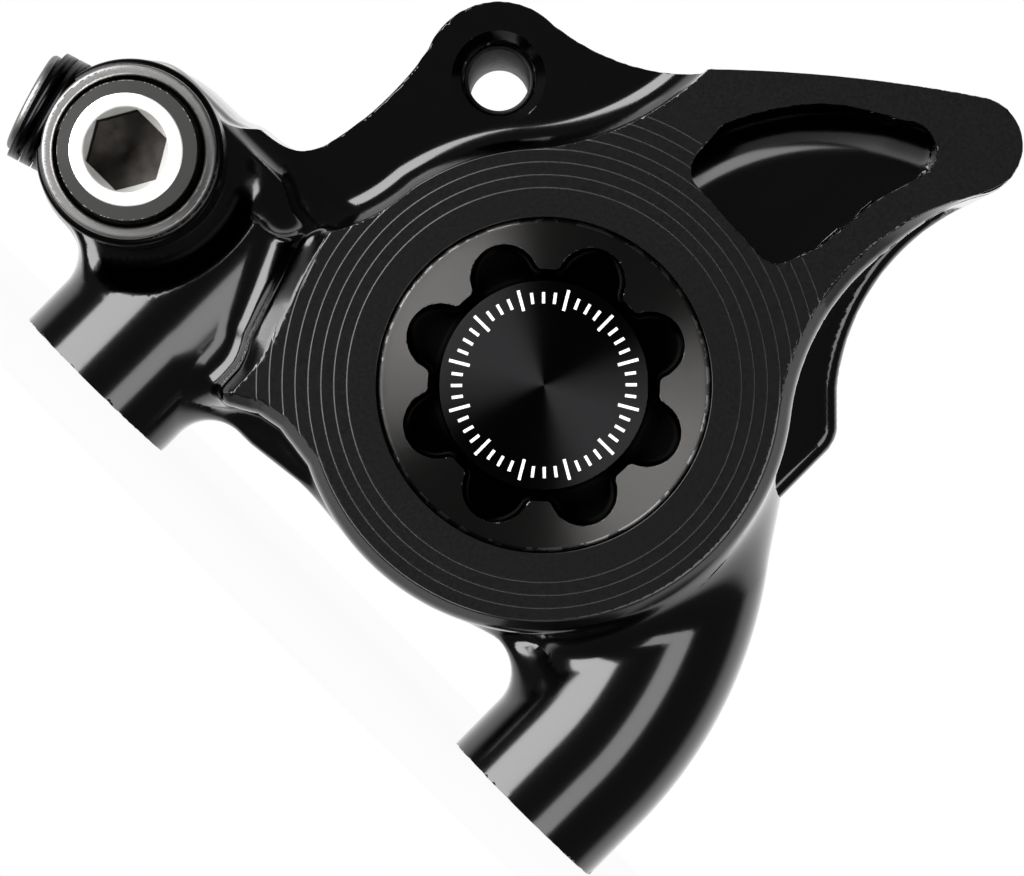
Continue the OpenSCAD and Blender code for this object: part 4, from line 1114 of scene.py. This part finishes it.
finish = {
    # An even matt black skin, as from a mould
    "seal_rubber": grained("nitrile rubber, moulded", "#19191B", "#29292B", 0, (0.5, 0.7), 0.3, 0.03),
    # Fine bright rings, drawn coarser than real grinding so that they show
    "piston_steel": grained("stainless steel, ground", "#A9AAAC", "#D2D3D4", 1, (0.2, 0.34), 0.5, 0.01,
                            (0.1, 4, 0.1)),
    # Grey plate with a cloudy zinc skin
    "backing_steel": grained("steel plate, zinc coated", "#77787A", "#A2A3A5", 1, (0.32, 0.5), 0.9, 0.01),
    # Brown grit with lighter specks of bronze
    "friction_compound": grained("sintered friction compound", "#332C27", "#7D6B58", 0.2, (0.7, 0.95), 0.45,
                                 0.15),
    # Straight rolling lines along the sheet
    "spring_steel": grained("spring steel, rolled", "#8F9092", "#C6C7C9", 1, (0.22, 0.36), 0.5, 0.01,
                            (4, 0.2, 4)),
    # Almost black, with a faint lighter bloom
    "pin_steel": grained("steel, black oxide", "#0D0D0E", "#1A1A1B", 0.3, (0.45, 0.6), 0.4, 0.01),
    # Bright machined steel with fine turning marks along the axis
    "bolt_stainless": grained("stainless steel, turned", "#B4B3B1", "#DAD9D7", 1, (0.2, 0.34), 0.5, 0.01,
                              (0.3, 4, 0.3)),
    # Dull black ring
    "washer_black": grained("aluminium washer, black anodised", "#161617", "#242425", 1, (0.35, 0.5), 0.3,
                            0.01)}
cover(pin_tube, finish["pin_steel"])

# %% [markdown]
# ## Small pieces
#
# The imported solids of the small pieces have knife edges, and real ones are deburred. A Bevel modifier
# breaks the edges of a copy, whose loose triangles are welded first. Copies that are made smooth by angle
# also lose the flat facets that a round solid gets when it is packed.

# %% Break the edges of the small pieces
SMALL_PIECES = {
    "bleed_screw": 0.15, "bleed_cap": 0.4, "passage_plug": 0.15, "pad_pin_clip": 0.08, "outer_piston": 0.3,
    "inner_piston": 0.3, "outer_pad_backing": 0.12, "inner_pad_backing": 0.12, "outer_pad_friction": 0.2,
    "inner_pad_friction": 0.2, "outer_banjo_washer": 0.05, "inner_banjo_washer": 0.05}
SMOOTH_ANGLE = math.radians(32)
bodies = frame["record"]["behaviour"]["bodies"]
body_of = {node: name for name, members in bodies.items() for node in members}
slot_of = {part["node"]: part["material_slot"] for part in frame["record"]["subparts"]}


def deburred(node, width):
    holder = placed(node + "_copy", nodes[node].data.copy())
    holder.modifiers.new("weld", "WELD").merge_threshold = WELD_GAP * MM
    bevel = holder.modifiers.new("edges", "BEVEL")
    bevel.width = width * MM
    bevel.segments = 3
    bevel.limit_method = "ANGLE"
    bevel.angle_limit = SMOOTH_ANGLE
    mesh = made_mesh(holder)
    mesh.polygons.foreach_set("use_smooth", [True] * len(mesh.polygons))
    mesh.set_sharp_from_angle(angle=SMOOTH_ANGLE)
    piece = placed("deburred_" + node, mesh)
    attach(piece, body_of[node])
    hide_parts(node)
    return piece


for node, width in SMALL_PIECES.items():
    cover(deburred(node, width), finish[slot_of[node]])
for node, slot in slot_of.items():
    if node not in SMALL_PIECES and slot in finish:
        cover(nodes[node], finish[slot])

# %% [markdown]
# The sheet spring stands between the pads and is pressed together as they close, by one millimetre on
# each side. Here its copy gets broken edges, a rolled steel finish and a mesh of its own.

# %% The pad spring
SPRING_EDGE = 0.06
spring = deburred("pad_spring", SPRING_EDGE)
cover(spring, finish["spring_steel"])
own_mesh(spring)

# %% [markdown]
# ## Thread and ticks
#
# The hose screws onto a thread, which is one profile that follows a helix, and an etched ring of ticks
# stands on the cap's island. Both follow a rule, so Geometry Nodes draw them: a spiral curve swept with a
# trapezoid, and a bar repeated round a circle. Both trees take their sizes as named inputs.

# %% Helpers for node trees that make a mesh
def node_tree(name, inputs):
    group = bpy.data.node_groups.new(name, "GeometryNodeTree")
    group.interface.new_socket("Geometry", in_out="OUTPUT", socket_type="NodeSocketGeometry")
    sockets = {}
    for label, kind in inputs.items():
        sockets[label] = group.interface.new_socket(label, in_out="INPUT", socket_type="NodeSocket" + kind)
    return group, sockets, add(group, "NodeGroupInput").outputs


def close_tree(group, mesh, place, rotation, material):
    moved = add(group, "GeometryNodeTransform", {
        "Geometry": mesh, "Translation": place, "Rotation": rotation})
    realised = add(group, "GeometryNodeRealizeInstances", {0: moved})
    finished = add(group, "GeometryNodeSetMaterial", {"Geometry": realised, "Material": material})
    add(group, "NodeGroupOutput", {0: finished})


def grow(name, group, sockets, values):
    holder = placed(name + "_tree", bpy.data.meshes.new(name + "_tree"))
    modifier = holder.modifiers.new(name, "NODES")
    modifier.node_group = group
    for label, value in values.items():
        modifier[sockets[label].identifier] = value
    mesh = made_mesh(holder)
    print(name, "faces:", len(mesh.polygons))
    return placed(name, mesh)


# %% Thread of the hose stub
THREAD_START = 3.9
ROOT_SHARE, CREST_SHARE = 0.85, 0.22
TURN_SEGMENTS = 64
THREAD = {"Radius": 3.08 * MM, "Depth": 0.42 * MM, "Pitch": 0.75 * MM, "Turns": 2.8}

group, sockets, sizes = node_tree("thread", {label: "Float" for label in THREAD})
length = add(group, "Math", {0: sizes["Pitch"], 1: sizes["Turns"]}, operation="MULTIPLY")
root = add(group, "Math", {0: sizes["Pitch"], 1: ROOT_SHARE}, operation="MULTIPLY")
crest = add(group, "Math", {0: sizes["Pitch"], 1: CREST_SHARE}, operation="MULTIPLY")
helix = add(group, "GeometryNodeCurveSpiral", {
    "Resolution": TURN_SEGMENTS, "Rotations": sizes["Turns"], "Start Radius": sizes["Radius"],
    "End Radius": sizes["Radius"], "Height": length})
upright = add(group, "GeometryNodeSetCurveNormal", {"Curve": helix}, mode="Z_UP")
profile = add(group, "GeometryNodeCurvePrimitiveQuadrilateral", {
    "Height": sizes["Depth"], "Bottom Width": root, "Top Width": crest, "Offset": 0}, mode="TRAPEZOID")
profile = add(group, "GeometryNodeTransform", {"Geometry": profile, "Rotation": (0, 0, math.radians(-90))})
swept = add(group, "GeometryNodeCurveToMesh", {"Curve": upright, "Profile Curve": profile, "Fill Caps": True})
start = banjo + stub_way * THREAD_START
start_place = Vector((start[0], STUB_Y, start[1])) * MM
close_tree(group, swept, start_place, (0, math.radians(90 - STUB_ANGLE), 0), anodised_banjo)
thread = grow("stub_thread", group, sockets, THREAD)
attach(thread, "banjo")

# %% Ticks on the cap's island
TICKS = {"Ring radius": 4.85 * MM, "Bar length": 0.62 * MM, "Bar width": 0.17 * MM, "Count": 48}
TICK_HEIGHT = 0.04
LONG_EVERY, LONGER = 4, 0.9

white_ink = grained("white ink, printed", "#DEDEDB", "#F2F2EF", 0, (0.45, 0.6), 0.15, 0.005)
kinds = {label: "Int" if label == "Count" else "Float" for label in TICKS}
group, sockets, sizes = node_tree("ticks", kinds)
circle = add(group, "GeometryNodeMeshCircle", {"Vertices": sizes["Count"], "Radius": sizes["Ring radius"]})
bar_size = add(group, "CombineXYZ", {
    0: sizes["Bar length"], 1: sizes["Bar width"], 2: TICK_HEIGHT * MM})
bar = add(group, "GeometryNodeMeshCube", {"Size": bar_size})
position = add(group, "GeometryNodeInputPosition")
outward = add(group, "FunctionNodeAlignRotationToVector", {"Vector": position}, axis="X")
number = add(group, "GeometryNodeInputIndex")
turn = add(group, "Math", {0: number, 1: LONG_EVERY}, operation="MODULO")
is_long = add(group, "Math", {0: turn, 1: 0.5}, operation="LESS_THAN")
stretch = add(group, "Math", {0: is_long, 1: LONGER, 2: 1}, operation="MULTIPLY_ADD")
scale = add(group, "CombineXYZ", {0: stretch, 1: 1, 2: 1})
bars = add(group, "GeometryNodeInstanceOnPoints", {
    "Points": circle, "Instance": bar, "Rotation": outward, "Scale": scale})
island_y = cap_low[1] + ISLAND_SUNK
close_tree(group, bars, Vector((bore[0], island_y, bore[1])) * MM, (math.radians(90), 0, 0), white_ink)
ticks = grow("island_ticks", group, sockets, TICKS)
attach(ticks, "body")
